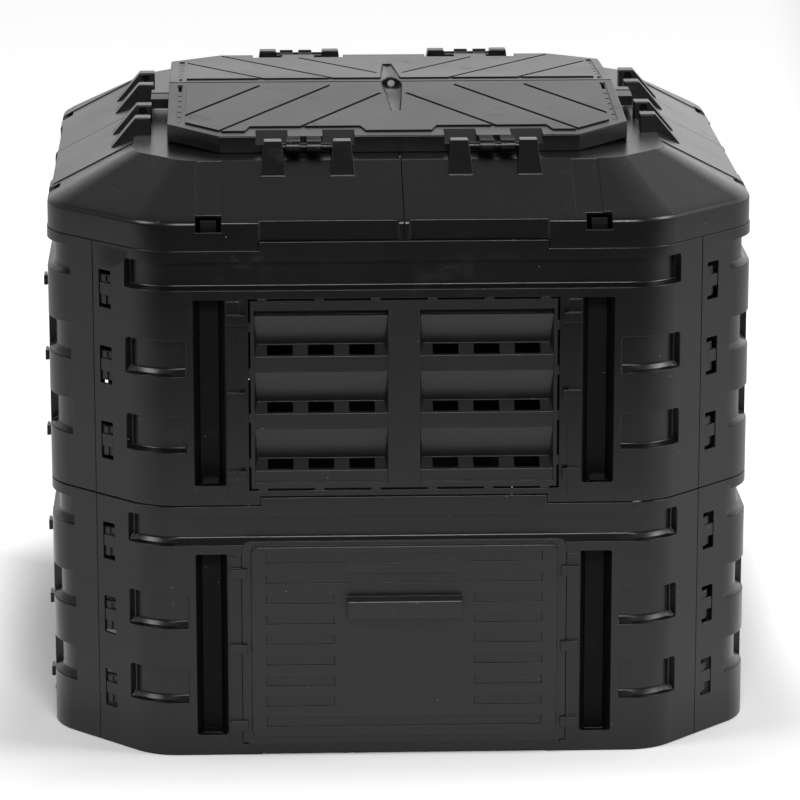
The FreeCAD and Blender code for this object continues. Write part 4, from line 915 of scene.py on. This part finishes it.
paper = bpy.data.materials.new("white paper")
paper.use_nodes = True
tree = paper.node_tree
tree.nodes.clear()
out = add_node(tree, "ShaderNodeOutputMaterial")
matt = add_node(tree, "ShaderNodeBsdfPrincipled", Roughness=0.9, Specular_IOR_Level=0.0)
matt.inputs["Emission Color"].default_value = (1.0, 1.0, 1.0, 1.0)
tree.links.new(matt.outputs[0], out.inputs["Surface"])
spot = add_node(tree, "ShaderNodeTexCoord")
fibre = add_node(tree, "ShaderNodeTexNoise", Scale=3.0, Detail=2.0)
tree.links.new(spot.outputs["Object"], fibre.inputs["Vector"])
tree.links.new(mixed(tree, fibre.outputs["Fac"], *PAPER_SHADES), matt.inputs["Base Color"])

parts = add_node(tree, "ShaderNodeSeparateXYZ")
tree.links.new(spot.outputs["Object"], parts.inputs[0])
from_middle_x = combined(tree, "ABSOLUTE", parts.outputs["X"])
from_middle_y = combined(tree, "ABSOLUTE", parts.outputs["Y"])
to_side = combined(tree, "MAXIMUM", from_middle_x, from_middle_y)
to_corner = combined(tree, "MULTIPLY", combined(tree, "ADD", from_middle_x, from_middle_y), CORNER_SHARE)
# Zero under the bin and rising from its foot: a painted soft shadow on the paper.
off_bin = ramped(tree, combined(tree, "MAXIMUM", to_side, to_corner), *GLOW_RING)
behind = ramped(tree, parts.outputs["Y"], *GLOW_BEHIND)
off_path = combined(tree, "MULTIPLY_ADD", parts.outputs["Y"], -PATH_WIDENS, from_middle_x)
in_path = ramped(tree, off_path, *GLOW_PATH)
# The paper's glow is painted light, shaped by these masks.
glow = combined(tree, "MULTIPLY", combined(tree, "MULTIPLY", off_bin, behind), in_path)
tree.links.new(glow, matt.inputs["Emission Strength"])
floor_mesh.materials.append(paper)
floor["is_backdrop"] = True
print("paper floor from", FLOOR_FRONT, "to", FLOOR_BACK, "m")

# %% [markdown]
# ## The walls of the studio
# The white walls of the studio are brightest low down behind the bin, which the lid mirrors,
# and dimmer overhead, which the hood mirrors. The world holds them as one smooth change with
# direction. Each ramp below gives two directions and the strengths there. The camera itself
# sees the same pale grey everywhere.

# %% Studio walls
OVERHEAD = (0.37, 0.68, 1.75, 0.62)
FROM_FRONT = (-0.45, 0.30, 0.12, 1.0)
FROM_LEFT = (-0.9, 0.5, 0.30, 1.0)
FROM_BELOW = (-0.06, 0.0, 0.12, 1.0)
world = bpy.data.worlds.new("white studio")
bpy.context.scene.world = world
world.use_nodes = True
tree = world.node_tree
tree.nodes.clear()
out = add_node(tree, "ShaderNodeOutputWorld")
choose = add_node(tree, "ShaderNodeMixShader")
tree.links.new(choose.outputs[0], out.inputs["Surface"])
seen = add_node(tree, "ShaderNodeLightPath")
tree.links.new(seen.outputs["Is Camera Ray"], choose.inputs[0])
direction = add_node(tree, "ShaderNodeTexCoord")
split = add_node(tree, "ShaderNodeSeparateXYZ")
tree.links.new(direction.outputs["Generated"], split.inputs[0])
strength = ramped(tree, split.outputs["Z"], *OVERHEAD)
for axis, change in (("Y", FROM_FRONT), ("X", FROM_LEFT), ("Z", FROM_BELOW)):
    strength = combined(tree, "MULTIPLY", strength, ramped(tree, split.outputs[axis], *change))
lit = add_node(tree, "ShaderNodeBackground")
tree.links.new(strength, lit.inputs["Strength"])
tree.links.new(lit.outputs[0], choose.inputs[1])
backdrop = add_node(tree, "ShaderNodeBackground", Strength=1.0)
tree.links.new(backdrop.outputs[0], choose.inputs[2])
print("the world has", len(tree.nodes), "nodes")

# %% [markdown]
# ## Soft boxes
# A wide soft box over the front lights the floor and draws the bright line on every upper
# edge. Two more stand at the sides, the right one stronger than the left. Area lamps are
# chosen because black plastic mirrors them: a point or a sun would show as a hard dot.

# %% Lamps
SOFT_BOXES = (
    ("front_soft_box", (0.3, -4.2, 3.3), (0, 0, 0.4), 1.8, 0.9, 125),
    ("right_soft_box", (3.2, -1.0, 3.2), (0, 0, 0.3), 1.4, 1.6, 85),
    ("left_soft_box", (-3.0, -1.5, 3.2), (0, 0, 0.3), 1.4, 1.6, 65),
)
for name, place, aim, wide, high, watts in SOFT_BOXES:
    lamp = bpy.data.lights.new(name, "AREA")
    lamp.shape = "RECTANGLE"
    lamp.size = wide
    lamp.size_y = high
    lamp.energy = watts
    stand = bpy.data.objects.new(name, lamp)
    bpy.context.scene.collection.objects.link(stand)
    stand.location = place
    stand.visible_camera = False
    stand.rotation_euler = (Vector(aim) - Vector(place)).to_track_quat("-Z", "Y").to_euler()
bpy.context.scene.view_settings.view_transform = "Standard"
print("lamps:", [lamp.name for lamp in bpy.data.lights])

# %% [markdown]
# ## The camera
# A long lens from a little above and a little to the left. Its place was found by matching
# the ring joints, the lid's corners and the hinge lugs with the photograph.

# %% Camera
CAMERA_PLACE = (-0.2087, -5.7690, 1.8471)
CAMERA_DOWN = math.radians(14.54)
CAMERA_TURN = math.radians(-2.19)
LENS_MM = 197.23
SENSOR_MM = 36.0
camera_data = bpy.data.cameras.new("camera")
camera_data.sensor_width = SENSOR_MM
camera_data.lens = LENS_MM
camera = bpy.data.objects.new("camera", camera_data)
bpy.context.scene.collection.objects.link(camera)
camera.location = CAMERA_PLACE
camera.rotation_euler = (math.pi / 2 - CAMERA_DOWN, 0.0, CAMERA_TURN)
bpy.context.scene.camera = camera
print("camera at", CAMERA_PLACE, "with a lens of", LENS_MM, "mm")

# %% [markdown]
# ## The size of the finished model
# Rounding takes away from a solid's outer edges and fills only its inner ones, so the dressed
# mouldings have to fit the box of the solids. Both boxes are printed.

# %% Size of the dressed model
dressed_box = [list(corner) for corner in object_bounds()]
print("dressed from", dressed_box[0], "to", dressed_box[1])
